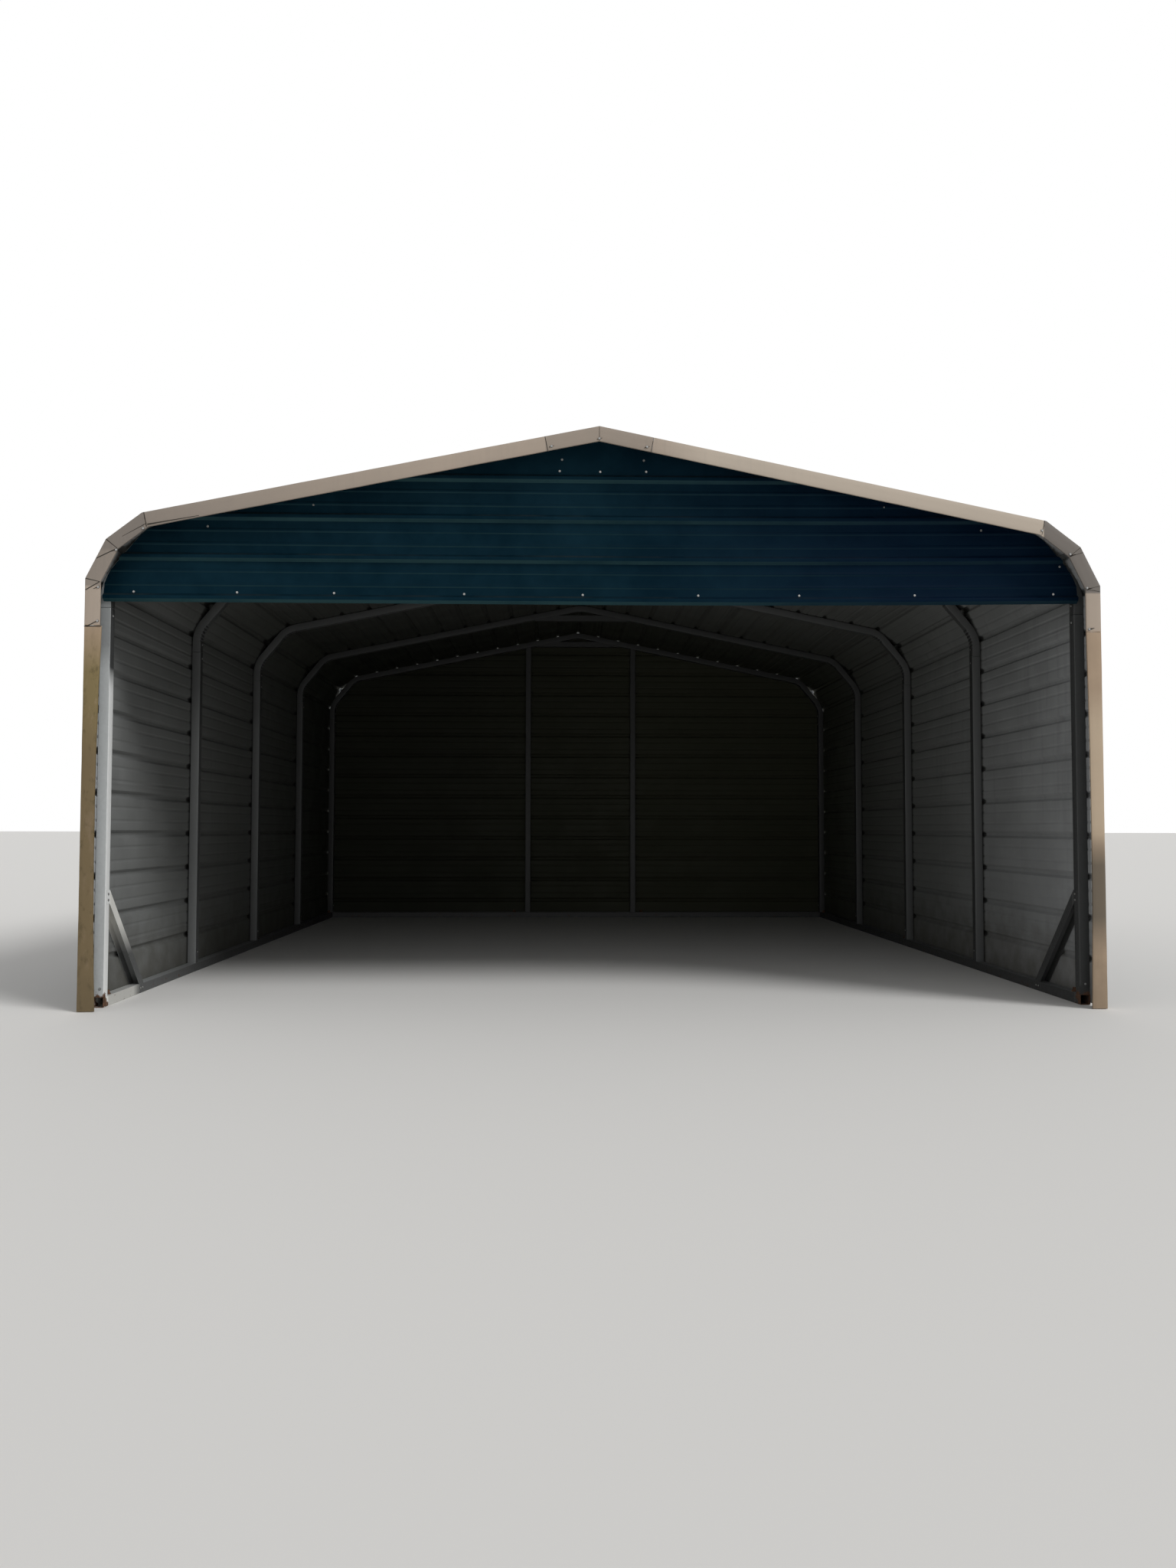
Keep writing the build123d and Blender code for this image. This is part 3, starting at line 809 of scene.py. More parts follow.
def uneven_ring(y):
    """Ring of a long sheet whose pans swell a little between the frames and not at its ends."""
    off_frame = min(abs(y - frame_y) for frame_y in FRAME_YS) - TUBE / 2
    free = held(off_frame, SWELL_FROM_FRAME) * held(SHEET_HALF - abs(y), SWELL_FROM_END)
    swell = settings("sheeting").unevenness * free

    def place(p):
        lift = 0.5 + noise.noise(Vector((p.x * 3.1, y * 1.7, p.y * 3.1)))
        moved = p + outward(p) * (swell * held(lift))
        return moved.x, y, moved.y

    return place


def long_sheet(name, line):
    """One ribbed sheet as long as the roof, in place of its CAD node."""
    inner = spaced(eased(line, settings("sheeting").bend_radius), LONG_SPACING)
    end = SHEET_HALF - settings("trim").setback - TRIM_CLEARANCE
    rings = [uneven_ring(end * (k / LONG_RINGS - 1)) for k in range(2 * LONG_RINGS + 1)]
    shape = sheet_metal(inner, moved_out(inner, settings("sheeting").thickness), rings)
    finish_piece(add_piece(f"{name}_ribbed", shape, SHEET_COATS), [name])


def width_finder(inset):
    """Function that gives the half-width of an end wall at a height."""
    rise = [(p.y, -p.x) for p in bow_line(inset) if p.x < 0.001]
    top = rise[-1][0]

    def width_at(height):
        if height <= rise[0][0]:
            return rise[0][1]
        for (low, wide), (high, narrow) in zip(rise, rise[1:]):
            if height <= high:
                share = (height - low) / max(high - low, 1e-9)
                return max(0.004, wide + (narrow - wide) * share)
        return 0.004

    return width_at, top


def settled(x):
    """How far the gable and its header stand off level: they hang low but for their pinned right end."""
    return GABLE_STAND - settings("sheeting").gable_sag * (1 - (max(x, 0.0) / (HALF_WIDTH - GABLE_PIN)) ** 2)


def level(x):
    """The back wall hangs level."""
    return 0.0


def end_sheet(name, node, line, inset, way, corners=(0.0, 0.0), rise=level):
    """One ribbed sheet of an end wall, cut to the frame's outline and further in at its lower corners."""
    size = settings("sheeting")
    width_at, top = width_finder(inset)
    peak = top - rise(0.0) - 0.001
    line = [p for p in line if p.y < peak - 0.001] + [Vector((line[-1].x, peak))] * (line[-1].y > peak)
    if way > 0:
        line = turned_back(line)
    inner = spaced(eased(line, size.bend_radius), END_SPACING)

    def ring(share):
        def place(p):
            low = held(HEADER_LOW + CUT_ABOVE_HEADER - p.y, CUT_REACH)
            cut = corners[0 if share < 0 else 1] * low
            height = p.y
            for _ in range(4):
                x = share * max(0.004, width_at(height) - cut)
                height = p.y + rise(x)
            lift = 0.5 + noise.noise(Vector((x * 1.9, way * 5.0, p.y * 3.7)))
            free = min(1.0, (1 - abs(share)) * 6)
            return x, p.x + way * size.unevenness * free * held(lift), height

        return place

    rings = [ring(k / END_RINGS - 1) for k in range(2 * END_RINGS + 1)]
    shape = sheet_metal(inner, moved_out(inner, size.thickness), rings)
    finish_piece(add_piece(name, shape, SHEET_COATS), [node])


def end_stations():
    """Rib stations up the front wall, the number below the gable, and the top one."""
    pitch = settings("sheeting").pitch
    line, _, ridge = station_line()
    gable_rib = HEADER_LOW - GABLE_LIP
    above = math.floor((line[ridge].y - gable_rib) / pitch)
    below = math.floor((gable_rib - RAIL_TOP - pitch / 4) / pitch)
    path = [Vector((FRAME_FRONT, gable_rib + (k - below) * pitch)) for k in range(below + above + 1)]
    return path, below, line[ridge].y


# Trim


def opposite(run):
    """The same run of trim on the other side."""
    return [(mirrored(point), mirrored(out)) for point, out in reversed(run)]


def trim_runs():
    """Runs of trim up the left side, as points of the bearing line with their outward vectors."""
    line, wall_ribs, ridge = station_line()
    eave, half = wall_ribs + 2, settings("trim").seam / 2
    leg_seam = Vector((-HALF_WIDTH, TRIM_SEAM))
    eave_seam = line[eave] + SLOPE * EAVE_TRIM_LAP
    roof_seam = line[ridge] - SLOPE * (RIDGE_TRIM_HALF / math.cos(ROOF_ANGLE))
    upright, sloping = left_of(UP), left_of(SLOPE)
    corner = [(line[i], mitre(line, i)) for i in range(wall_ribs, eave + 1)]
    half_ridge = [(roof_seam + SLOPE * half, sloping)]
    return {
        "leg": [(Vector((-HALF_WIDTH, TRIM_BOTTOM)), upright), (leg_seam - UP * half, upright)],
        "corner": [(leg_seam + UP * half, upright)] + corner + [(eave_seam - SLOPE * half, sloping)],
        "slope": [(eave_seam + SLOPE * half, sloping), (roof_seam - SLOPE * half, sloping)],
        "ridge": half_ridge + [(line[ridge], mitre(line, ridge))] + opposite(half_ridge),
    }


def trim_band(run, way, waviness, face=0.0, narrowing=0.0):
    """Points, faces and marks of one run of folded trim at the front (-1) or the back (1)."""
    trim = settings("trim")
    thin, back, face = trim.thickness, trim.setback, face or trim.face
    section = [
        Vector((TRIM_OUT - thin, trim.return_depth)),
        Vector((TRIM_OUT - thin, back + thin)),
        Vector((TRIM_OUT - face + thin, back + thin)),
        Vector((TRIM_OUT - face + thin, back + trim.hem)),
    ]
    inner = spaced(eased(section, TRIM_BEND), TRIM_SPACING)
    places = [run[0]]
    for (a, out_a), (b, out_b) in zip(run, run[1:]):
        count = max(2, math.ceil((b - a).length / RUN_SPACING))
        places += [(a.lerp(b, k / count), out_a.lerp(out_b, k / count)) for k in range(1, count + 1)]

    def ring(point, out):
        seed = Vector((point.x * 5.0, way * 9.0, point.y * 5.0))
        share = (point - run[0][0]).length / (run[-1][0] - run[0][0]).length
        narrow = narrowing * 4 * share * (1 - share)
        dent = waviness * held(0.45 + noise.noise(seed))
        pinch = 0.3 * waviness * held(0.45 + noise.noise(seed * 1.7))

        def place(p):
            across = (TRIM_OUT - p.x) / face
            q = point + out * (p.x - pinch + narrow * max(0.0, across))
            return q.x, way * (TRIM_FRONT - p.y - dent * across), q.y

        return place

    return sheet_metal(inner, moved_out(inner, thin), [ring(*pair) for pair in places])


def face_plate(corners, height, mark):
    """Four-cornered plate on the face of the front trim, as high as asked, all its faces marked alike."""
    face = TRIM_FRONT - settings("trim").setback
    points = [(p.x, -face - height, p.y) for p in corners] + [(p.x, -face + 0.0022, p.y) for p in corners]
    faces = [(0, 1, 2, 3), (7, 6, 5, 4)] + [(i, i + 4, (i + 1) % 4 + 4, (i + 1) % 4) for i in range(4)]
    return points, faces, [mark] * 6


def shadow_and_dirt_line(a, b, width, end_width=None):
    """Line of painted shadow and dirt across the face of the front trim."""
    across = left_of((b - a).normalized()) / 2
    end = width if end_width is None else end_width
    corners = [a + across * width, b + across * end, b - across * end, a - across * width]
    return face_plate(corners, 0.0006, 1)


def across_face(point, out, start=0.001):
    """Outer and inner end of a line across the trim's face."""
    return point + out * (TRIM_OUT - start), point + out * (TRIM_OUT - settings("trim").face)


def seam_line(point, out, width, mirror=False):
    """Painted shadow and dirt in a seam across the trim's face, on the left side or its mirror."""
    edge, inner = across_face(point, out)
    return shadow_and_dirt_line(mirrored(inner), mirrored(edge), width) if mirror else shadow_and_dirt_line(edge, inner, width)


def fold_parts(run, index, drop, dirt):
    """Triangle of trim tucked over the face at a fold of a corner run, with painted shadow and dirt along its
    edges.
    """
    (below, out_below), (point, out) = run[index - 1], run[index]
    inside = point + out * (TRIM_OUT - settings("trim").face + 0.003)
    outside = point + out * (TRIM_OUT - 0.0035)
    along = ((below + out_below * TRIM_OUT) - (point + out * TRIM_OUT)).normalized()
    low = outside + along * drop
    flap = face_plate([inside, outside, low, inside + along * 0.003], 0.0004, 0)
    return [flap, shadow_and_dirt_line(inside, outside, dirt * 0.6, dirt), shadow_and_dirt_line(inside, low, dirt * 0.8, dirt)]


# Marks on the front corner trims, in metres: how far each tucked fold drops, how wide its painted shadow and
# dirt are, how much the painted shadow dashes beside the screws slant, and where they are, as x, z and width
FOLD_DROPS = {"left": (0.062, 0.115), "right": (0.03, 0.03)}
FOLD_SHADOW_AND_DIRT = {"left": 0.0055, "right": 0.0026}
SHADOW_DASH_SLANT = {"left": 0.007, "right": -0.004}
SHADOW_DASHES = {
    "left": ((2.695, 2.267, 0.009), (2.604, 2.47, 0.009)),
    "right": ((2.697, 2.302, 0.013), (2.606, 2.488, 0.013), (2.703, 2.079, 0.013)),
}


def flipped(points, faces, marks):
    """Points, faces and marks on the other side of the ridge."""
    return [(-x, y, z) for x, y, z in points], [face[::-1] for face in faces], marks


def corner_marks(side, run):
    """Tucked folds of one front corner's trim, with painted shadow and dirt along them and painted shadow
    dashes beside its screws; on the left also painted shadow along a flap edge and a crease.
    """
    slant, marks = SHADOW_DASH_SLANT[side], []
    for index, drop in enumerate(FOLD_DROPS[side], start=1):
        marks += fold_parts(run, index, drop, FOLD_SHADOW_AND_DIRT[side])
    if side == "left":
        # Painted shadow along the lower flap edge, and along a crease
        marks.append(shadow_and_dirt_line(Vector((-2.754, 2.056)), Vector((-2.696, 2.087)), 0.005))
        (a, _), (b, _) = run[2:4]
        out, face = left_of((b - a).normalized()), settings("trim").face
        start = a.lerp(b, 0.32) + out * (TRIM_OUT - face * 0.52)
        marks.append(shadow_and_dirt_line(start, a.lerp(b, 0.93) + out * (TRIM_OUT - face * 0.76), 0.0016, 0.0026))
    # Painted shadow dashes beside the screws
    for x, z, wide in SHADOW_DASHES[side]:
        start, end = Vector((-x - 0.026, z - slant)), Vector((-x + 0.007, z + slant))
        marks.append(shadow_and_dirt_line(start, end, 0.002, wide))
    return marks if side == "left" else [flipped(*mark) for mark in marks]


def roof_marks(runs):
    """Painted shadow and dirt in the seams of the front roof trim and along its standing hem, and painted
    shadow dashes beside three of its screws.
    """
    (seam_end, seam_out), (apex, apex_out) = runs["ridge"][:2]
    (foot, out), (head, _) = runs["slope"]
    face = settings("trim").face
    hem_ends = ((0.003, 0.86), (0.13, 0.93))
    hem = [foot.lerp(head, share) + out * (TRIM_OUT - face * deep) for share, deep in hem_ends]
    marks = [
        shadow_and_dirt_line(*across_face(apex, apex_out, 0.002), 0.002),
        seam_line(seam_end, seam_out, 0.0035),
        seam_line(seam_end, seam_out, 0.002, mirror=True),
        shadow_and_dirt_line(*hem, 0.0065, 0.003),
        seam_line(foot, out, 0.004),
        seam_line(foot, out, 0.002, mirror=True),
    ]
    # Painted shadow dashes beside three screws
    for x, z in ((-0.262, 3.064), (0.261, 3.066), (0.0, 3.11)):
        marks.append(shadow_and_dirt_line(Vector((x - 0.014, z - 0.005)), Vector((x + 0.016, z + 0.004)), 0.004, 0.001))
    return marks


# Tubes and fasteners


def tube_tree():
    """Square tube along every edge chain, crimped on the inside of its marked bends."""
    inputs = [
        ("Geometry", "Geometry", None),
        ("Width", "Float", 0.057),
        ("Corner radius", "Float", 0.0045),
        ("Crimp depth", "Float", 0.0035),
        ("Crimp pitch", "Float", 0.026),
        ("Material", "Material", None),
    ]
    nodes, given = node_group("Square tube", "GeometryNodeTree", inputs)
    curve = nodes.add("GeometryNodeMeshToCurve", {"Mesh": given["Geometry"]})[0]
    place = nodes.add("GeometryNodeInputPosition")[0]
    curve = nodes.store(curve, "axis", place, "FLOAT_VECTOR")
    curve = nodes.store(curve, "run", nodes.add("GeometryNodeSplineParameter")["Length"], "FLOAT")
    sides = {"Width": given["Width"], "Height": given["Width"]}
    square = nodes.add("GeometryNodeCurvePrimitiveQuadrilateral", sides)[0]
    rounding = {"Curve": square, "Radius": given["Corner radius"], "Count": 3}
    profile = nodes.add("GeometryNodeFilletCurve", rounding, mode="POLY")[0]
    swept = {"Curve": curve, "Profile Curve": profile, "Fill Caps": True}
    mesh = nodes.add("GeometryNodeCurveToMesh", swept)[0]
    # Crimps: notches in the inner face, as deep as the bend is marked
    out = nodes.named("outward", "FLOAT_VECTOR")
    apart = {0: place, 1: nodes.named("axis", "FLOAT_VECTOR")}
    off_axis = nodes.add("ShaderNodeVectorMath", apart, operation="SUBTRACT")[0]
    side = nodes.add("ShaderNodeVectorMath", {0: off_axis, 1: out}, operation="DOT_PRODUCT")["Value"]
    inner = nodes.most(nodes.math("DIVIDE", side, nodes.times(given["Width"], -0.5)), 0.0)
    turns = nodes.math("DIVIDE", nodes.named("run", "FLOAT"), given["Crimp pitch"])
    wave = nodes.math("COSINE", nodes.times(turns, 2 * math.pi))
    notch = nodes.math("POWER", nodes.times(nodes.math("ADD", wave, 1.0), 0.5), 3.0)
    depth = nodes.times(given["Crimp depth"], nodes.named("bend", "FLOAT"))
    push = {0: out, "Scale": nodes.times(inner, notch, depth)}
    offset = nodes.add("ShaderNodeVectorMath", push, operation="SCALE")[0]
    shaped = nodes.add("GeometryNodeSetPosition", {"Geometry": mesh, "Offset": offset})[0]
    solid = nodes.add("GeometryNodeRealizeInstances", {"Geometry": shaped})[0]
    coat = {"Geometry": solid, "Material": given["Material"]}
    nodes.give(Geometry=nodes.add("GeometryNodeSetMaterial", coat)[0])
    return nodes.tree


def screw_tree():
    """Hex heads on washers at every point, turned to its facing vector, each spun at random."""
    inputs = [
        ("Geometry", "Geometry", None),
        ("Head width", "Float", 0.0092),
        ("Head height", "Float", 0.0035),
        ("Washer width", "Float", 0.0145),
        ("Washer thickness", "Float", 0.0015),
        ("Stem length", "Float", 0.004),
        ("Seed", "Int", 4),
        ("Head material", "Material", None),
        ("Washer material", "Material", None),
    ]
    nodes, given = node_group("Screws", "GeometryNodeTree", inputs)

    def disc(vertices, width, height, base, rubber):
        shape = {"Vertices": vertices, "Radius": nodes.times(width, 0.5), "Depth": height}
        mesh = nodes.add("GeometryNodeMeshCylinder", shape)["Mesh"]
        middle = nodes.math("ADD", base, nodes.times(height, 0.5))
        up = nodes.add("ShaderNodeCombineXYZ", {"Z": middle})[0]
        lifted = nodes.add("GeometryNodeTransform", {"Geometry": mesh, "Translation": up})[0]
        return nodes.store(lifted, "rubber", rubber, "BOOLEAN", "FACE")

    thick, head, height = given["Washer thickness"], given["Head width"], given["Head height"]
    flange = nodes.times(height, 0.22)
    join = nodes.tree.nodes.new("GeometryNodeJoinGeometry")
    for part in (
        disc(6, nodes.times(head, 0.5), given["Stem length"], nodes.times(given["Stem length"], -1.0), False),
        disc(6, head, nodes.times(height, 0.78), nodes.math("ADD", thick, flange), False),
        disc(12, nodes.times(given["Washer width"], 0.86), flange, thick, False),
        disc(12, given["Washer width"], thick, 0.0, True),
    ):
        nodes.tree.links.new(part, join.inputs[0])
    turn = {"Vector": nodes.named("facing", "FLOAT_VECTOR")}
    aligned = nodes.add("FunctionNodeAlignRotationToVector", turn, axis="Z")[0]
    lean = {0: (-0.05, -0.05, 0.0), 1: (0.05, 0.05, 6.28), "Seed": given["Seed"]}
    spread = nodes.add("FunctionNodeRandomValue", lean, data_type="FLOAT_VECTOR")[0]
    turned = {"Rotation": aligned, "Rotate By": spread}
    spun = nodes.add("FunctionNodeRotateRotation", turned, rotation_space="LOCAL")[0]
    spots = {"Points": given["Geometry"], "Instance": join.outputs[0], "Rotation": spun}
    placed = nodes.add("GeometryNodeInstanceOnPoints", spots)[0]
    solid = nodes.add("GeometryNodeRealizeInstances", {"Geometry": placed})[0]
    plated = {"Geometry": solid, "Material": given["Head material"]}
    plated = nodes.add("GeometryNodeSetMaterial", plated)[0]
    rubber = nodes.named("rubber", "BOOLEAN")
    sealed = {"Geometry": plated, "Selection": rubber, "Material": given["Washer material"]}
    nodes.give(Geometry=nodes.add("GeometryNodeSetMaterial", sealed)[0])
    return nodes.tree


def carrier(name, points, edges, **attributes):
    """Plain mesh of points and edges that a node tree builds on, with its attributes."""
    mesh = bpy.data.meshes.new(name)
    mesh.from_pydata(points, edges, [])
    for key, values in attributes.items():
        kind, field = ("FLOAT_VECTOR", "vector") if hasattr(values[0], "__len__") else ("FLOAT", "value")
        flat = [c for v in values for c in v] if kind == "FLOAT_VECTOR" else values
        mesh.attributes.new(key, kind, "POINT").data.foreach_set(field, flat)
    return place_object(name, mesh)


def grow(piece, tree, values, nodes=()):
    """Runs a node tree on a carrier, keeps the result as its plain mesh and fixes it to the frame."""
    modifier = piece.modifiers.new(tree.name, "NODES")
    modifier.node_group = tree
    for item in tree.interface.items_tree:
        if item.in_out == "INPUT" and item.name in values:
            modifier[item.identifier] = values[item.name]
    evaluated = piece.evaluated_get(bpy.context.evaluated_depsgraph_get())
    mesh = bpy.data.meshes.new_from_object(evaluated)
    piece.modifiers.clear()
    if not mesh.polygons:
        raise RuntimeError(f"{piece.name}: the node tree made nothing")
    for name in ("axis", "run", "outward", "bend", "facing", "rubber"):
        if name in mesh.attributes:
            mesh.attributes.remove(mesh.attributes[name])
    mesh.name = piece.name
    piece.data = mesh
    mesh.shade_smooth()
    mesh.set_sharp_from_angle(angle=math.radians(30))
    finish_piece(piece, nodes)


# Places of screws and anchors, in metres, where a pair is x and z
BELOW_RIB = 0.042
RAIL_SCREW = 0.034
RAIL_SCREW_START = 0.35
RAIL_SCREW_PITCH = 0.54
BACK_SCREW_REACH = 2.4
SLOPE_SCREW_DROP = 0.036
SPLICE_SCREWS = (-0.045, 0.05)
LEG_FOOT_SCREW = 0.13
ANCHOR_BESIDE_LEG = 0.092
BACK_ANCHOR = 0.7
HEADER_SCREWS = (-2.563, -1.998, -1.465, -0.746, -0.087, 0.559, 1.127, 1.78, 2.569)
GABLE_SCREWS = (
    (2.608, 2.458), (2.162, 2.661), (1.611, 2.787), (-0.204, 3.04), (0.255, 3.04),
    (-0.217, 2.975), (0.01, 2.973), (0.268, 2.976), (-1.584, 2.771), (-2.164, 2.645),
)
FRONT_TRIM_SCREWS = (
    (-2.695, 2.269), (-2.603, 2.472), (-2.462, 2.59), (-2.696, 2.086), (-0.262, 3.064), (0.0, 3.11),
    (2.691, 2.305), (2.6, 2.492), (2.445, 2.623), (2.699, 2.076), (0.261, 3.066),
)
BACK_TRIM_SCREWS = ((2.45, 2.605), (2.6, 2.482), (2.693, 2.287), (2.698, 2.08), (0.261, 3.065))
BACK_SLOPE_SCREWS = (-2.1, -1.62, -1.12, -0.35, 0.35, 1.12, 1.62, 2.1)
FRONT_FOOT_SCREWS = ((-2.706, 0.101), (2.715, 0.116))


def screw_spots():
    """Every screw, as its place and the direction that it faces."""
    forwards, backwards, sides = (0.0, -1.0, 0.0), (0.0, 1.0, 0.0), (-1, 1)
    thick, face = settings("sheeting").thickness, TRIM_FRONT - settings("trim").setback
    front, back = FRAME_FRONT - thick, FRAME_BACK + thick
    line, _, ridge = station_line()
    spots = []
    # Sheeting on the frames, beside every rib, and along the base rails
    for y in FRAME_YS:
        for index in range(ridge + 1):
            along = direction(line, max(index - 1, 0))
            out = left_of(along)
            p = line[index] - along * BELOW_RIB + out * thick
            spots += [((-side * p.x, y, p.y), (-side * out.x, 0.0, out.y)) for side in sides]
    for y in [FRAME_FRONT + RAIL_SCREW_START + RAIL_SCREW_PITCH * k for k in range(11)]:
        spots += [((side * (HALF_WIDTH + thick), y, RAIL_SCREW), (side, 0.0, 0.0)) for side in sides]
    # Back wall on its legs and posts, along the rail and along the slopes
    path, _, top = end_stations()
    posts = [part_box(f"back_post_{side}")[0].x + TUBE / 2 for side in ("left", "right")]
    for rib in path:
        for x in (-HALF_WIDTH + TUBE / 2, *posts, HALF_WIDTH - TUBE / 2):
            if rib.y < LEG_TOP + 0.12 or (abs(x) < 1 and rib.y < top - 0.25):
                spots.append(((x, back, rib.y - BELOW_RIB), backwards))
    for k in range(10):
        spots.append(((-BACK_SCREW_REACH + 2 * BACK_SCREW_REACH * k / 9, back, RAIL_SCREW), backwards))
    for x in BACK_SLOPE_SCREWS:
        spots.append(((x, back, top - abs(x) * math.tan(ROOF_ANGLE) - SLOPE_SCREW_DROP), backwards))
    # Gable on its header and bow, and the edge trim
    spots += [((x, front, HEADER_LOW + TUBE / 2 + settled(x)), forwards) for x in HEADER_SCREWS]
    spots += [((x, front, z), forwards) for x, z in GABLE_SCREWS]
    spots += [((x, -face, z), forwards) for x, z in FRONT_TRIM_SCREWS]
    spots += [((side * x, face, z), backwards) for x, z in BACK_TRIM_SCREWS for side in sides]
    # Feet of the front legs, splices of the bows, feet of the others, and the corner braces
    spots += [((x, FRAME_FRONT, z), forwards) for x, z in FRONT_FOOT_SCREWS]
    for side, name in zip(sides, ("left", "right")):
        inwards = (-side, 0.0, 0.0)
        for n, y in enumerate(FRAME_YS):
            heights = [LEG_TOP + rise for rise in SPLICE_SCREWS] + [LEG_FOOT_SCREW] * (n > 0)
            spots += [((side * (HALF_WIDTH - TUBE), y, z), inwards) for z in heights]
        low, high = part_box(f"front_brace_{name}")
        flange = high.x if side < 0 else low.x
        ends = [(low.y + 0.022, high.z - 0.022), (low.y + 0.022, high.z - 0.055)]
        ends += [(high.y - 0.02, low.z + 0.02), (high.y - 0.05, low.z + 0.02)]
        spots += [((flange, y, z), inwards) for y, z in ends]
    return spots


# Sizes and colours that a user would change


def length(name, text, default, low=0.0):
    """Length property in metres."""
    return bpy.props.FloatProperty(
        name=name, description=text, default=default, min=low, precision=4, subtype="DISTANCE", unit="LENGTH"
    )


def colour(name, text, default):
    """Colour property."""
    return bpy.props.FloatVectorProperty(
        name=name, description=text, default=default, min=0.0, max=1.0, size=3, subtype="COLOR"
    )


def number(name, text, default):
    """Plain number property."""
    return bpy.props.FloatProperty(name=name, description=text, default=default, min=0.0)


class CarportSheeting(bpy.types.PropertyGroup):
    """Ribbed sheeting of the walls and the roof"""

    pitch: length("Rib pitch", "Distance between major ribs", 0.2286)
    rib_height: length("Rib height", "Height of a major rib", 0.01905)
    rib_foot: length("Rib foot", "Half-width of a major rib at its foot", 0.023)
    rib_top: length("Rib top", "Half-width of a major rib at its crown", 0.009)
    minor_height: length("Minor ridge height", "Height of a stiffening ridge", 0.0032)
    minor_foot: length("Minor ridge foot", "Half-width of a stiffening ridge", 0.011)
    thickness: length("Thickness", "Thickness of a sheet", 0.001)
    bend_radius: length("Bend radius", "Radius of the rolled bends", 0.0035)
    unevenness: length("Unevenness", "How far the pans swell between the frames", 0.0012)
    gable_sag: length("Gable sag", "How far the gable hangs below its pinned right end", 0.0255)
    # The outside colour carries painted shade: it is darker and bluer than the enamel under plain light
    outside_colour: colour("Outside", "Enamel on the outside", (0.0006, 0.0148, 0.0262))
    # The inside colour carries painted shade: it is kept well below the off-white paint, which the overhangs
    # are lightened back to
    inside_colour: colour("Inside", "Backing paint on the inside", (0.34, 0.35, 0.355))


class CarportTrim(bpy.types.PropertyGroup):
    """Folded trim over the ends of the sheeting"""

    face: length("Face", "Width of the face", 0.081)
    wide_face: length("Wide face", "Width of the face on the left leg", 0.089)
    narrowing: length("Narrowing", "How much narrower the left leg's face is half-way up", 0.018)
    return_depth: length("Return", "Depth of the return along the roof and the walls", 0.06)
    hem: length("Hem", "Depth of the hem on the inner edge", 0.01)
    thickness: length("Thickness", "Thickness of the trim", 0.0006)
    setback: length("Setback", "How far the face stands back of the screw heads", 0.006)
    seam: length("Seam", "Gap between two lengths of trim", 0.002)
    waviness: length("Waviness", "Depth of the dents in the face", 0.0016)
    colour: colour("Colour", "Paint of the trim", (0.43, 0.32, 0.225))
    stain_colour: colour("Stain", "Algae on the left leg trim", (0.215, 0.165, 0.072))


class CarportFrame(bpy.types.PropertyGroup):
    """Square tube of the legs, bows and header"""

    corner_radius: length("Corner radius", "Outer radius of the tube's corners", 0.0045)
    crimp_depth: length("Crimp depth", "Depth of the crimps inside the bends", 0.0055)
    crimp_pitch: length("Crimp pitch", "Distance between crimps", 0.026, 0.005)
    splice_gap: length("Splice gap", "Open seam between a leg and its bow", 0.0025)
    zinc_colour: colour("Zinc", "Galvanised surface", (0.60, 0.62, 0.62))


class CarportFasteners(bpy.types.PropertyGroup):
    """Self-drilling screws and ground anchors"""

    head_width: length("Head width", "Width of a screw's hex head", 0.0092)
    head_height: length("Head height", "Height of a screw's hex head", 0.0035)
    washer_width: length("Washer width", "Width of a sealing washer", 0.0145)
    washer_thickness: length("Washer thickness", "Thickness of a sealing washer", 0.0015)
    anchor_width: length("Anchor width", "Width of an anchor's head", 0.026)
    anchor_height: length("Anchor height", "Height of an anchor's head", 0.02)
    head_colour: colour("Head", "Zinc-plated screw heads", (0.42, 0.42, 0.41))


class CarportStage(bpy.types.PropertyGroup):
    """Floor, lights and camera"""

    camera_place: bpy.props.FloatVectorProperty(
        name="Camera",
        description="Place of the camera",
        default=(-0.224, -9.079, 0.975),
        size=3,
        subtype="TRANSLATION",
    )
    camera_turn: bpy.props.FloatVectorProperty(
        name="Camera turn",
        description="Turn of the camera about each axis",
        default=(math.radians(92.35), math.radians(-0.086), math.radians(-1.60)),
        size=3,
        subtype="EULER",
    )
    camera_lens: number("Lens", "Focal length in millimetres", 25.03)
    sun_strength: number("Sun", "Strength of the soft sun", 1.6)
    sky_strength: number("Sky", "Strength of the sky on the object", 0.45)
    floor_colour: colour("Floor", "Pale floor", (0.78, 0.77, 0.75))


# One operator for each group of pieces

SHEET_COATS = ("green_sheet_paint", "off_white_backing")
TRIM_COATS = ("tan_trim_paint", "seam_dirt")


class CARPORT_OT_prepare_finishes(bpy.types.Operator):
    """Makes the shared effects and every finish of the carport"""

    bl_idname = "carport.prepare_finishes"
    bl_label = "Prepare finishes"

    def execute(self, context):
        for make in (weathering_group, rust_group, inside_shade_group, ledge_group, spangle_group):
            make()
        green_paint(settings("sheeting"))
        white_paint(settings("sheeting"))
        tan_paint(settings("trim"))
        zinc_coat(settings("frame"))
        screw_metal(settings("fasteners"))
        for make in (rusted_steel, seam_dirt, washer_rubber):
            make()
        return {"FINISHED"}


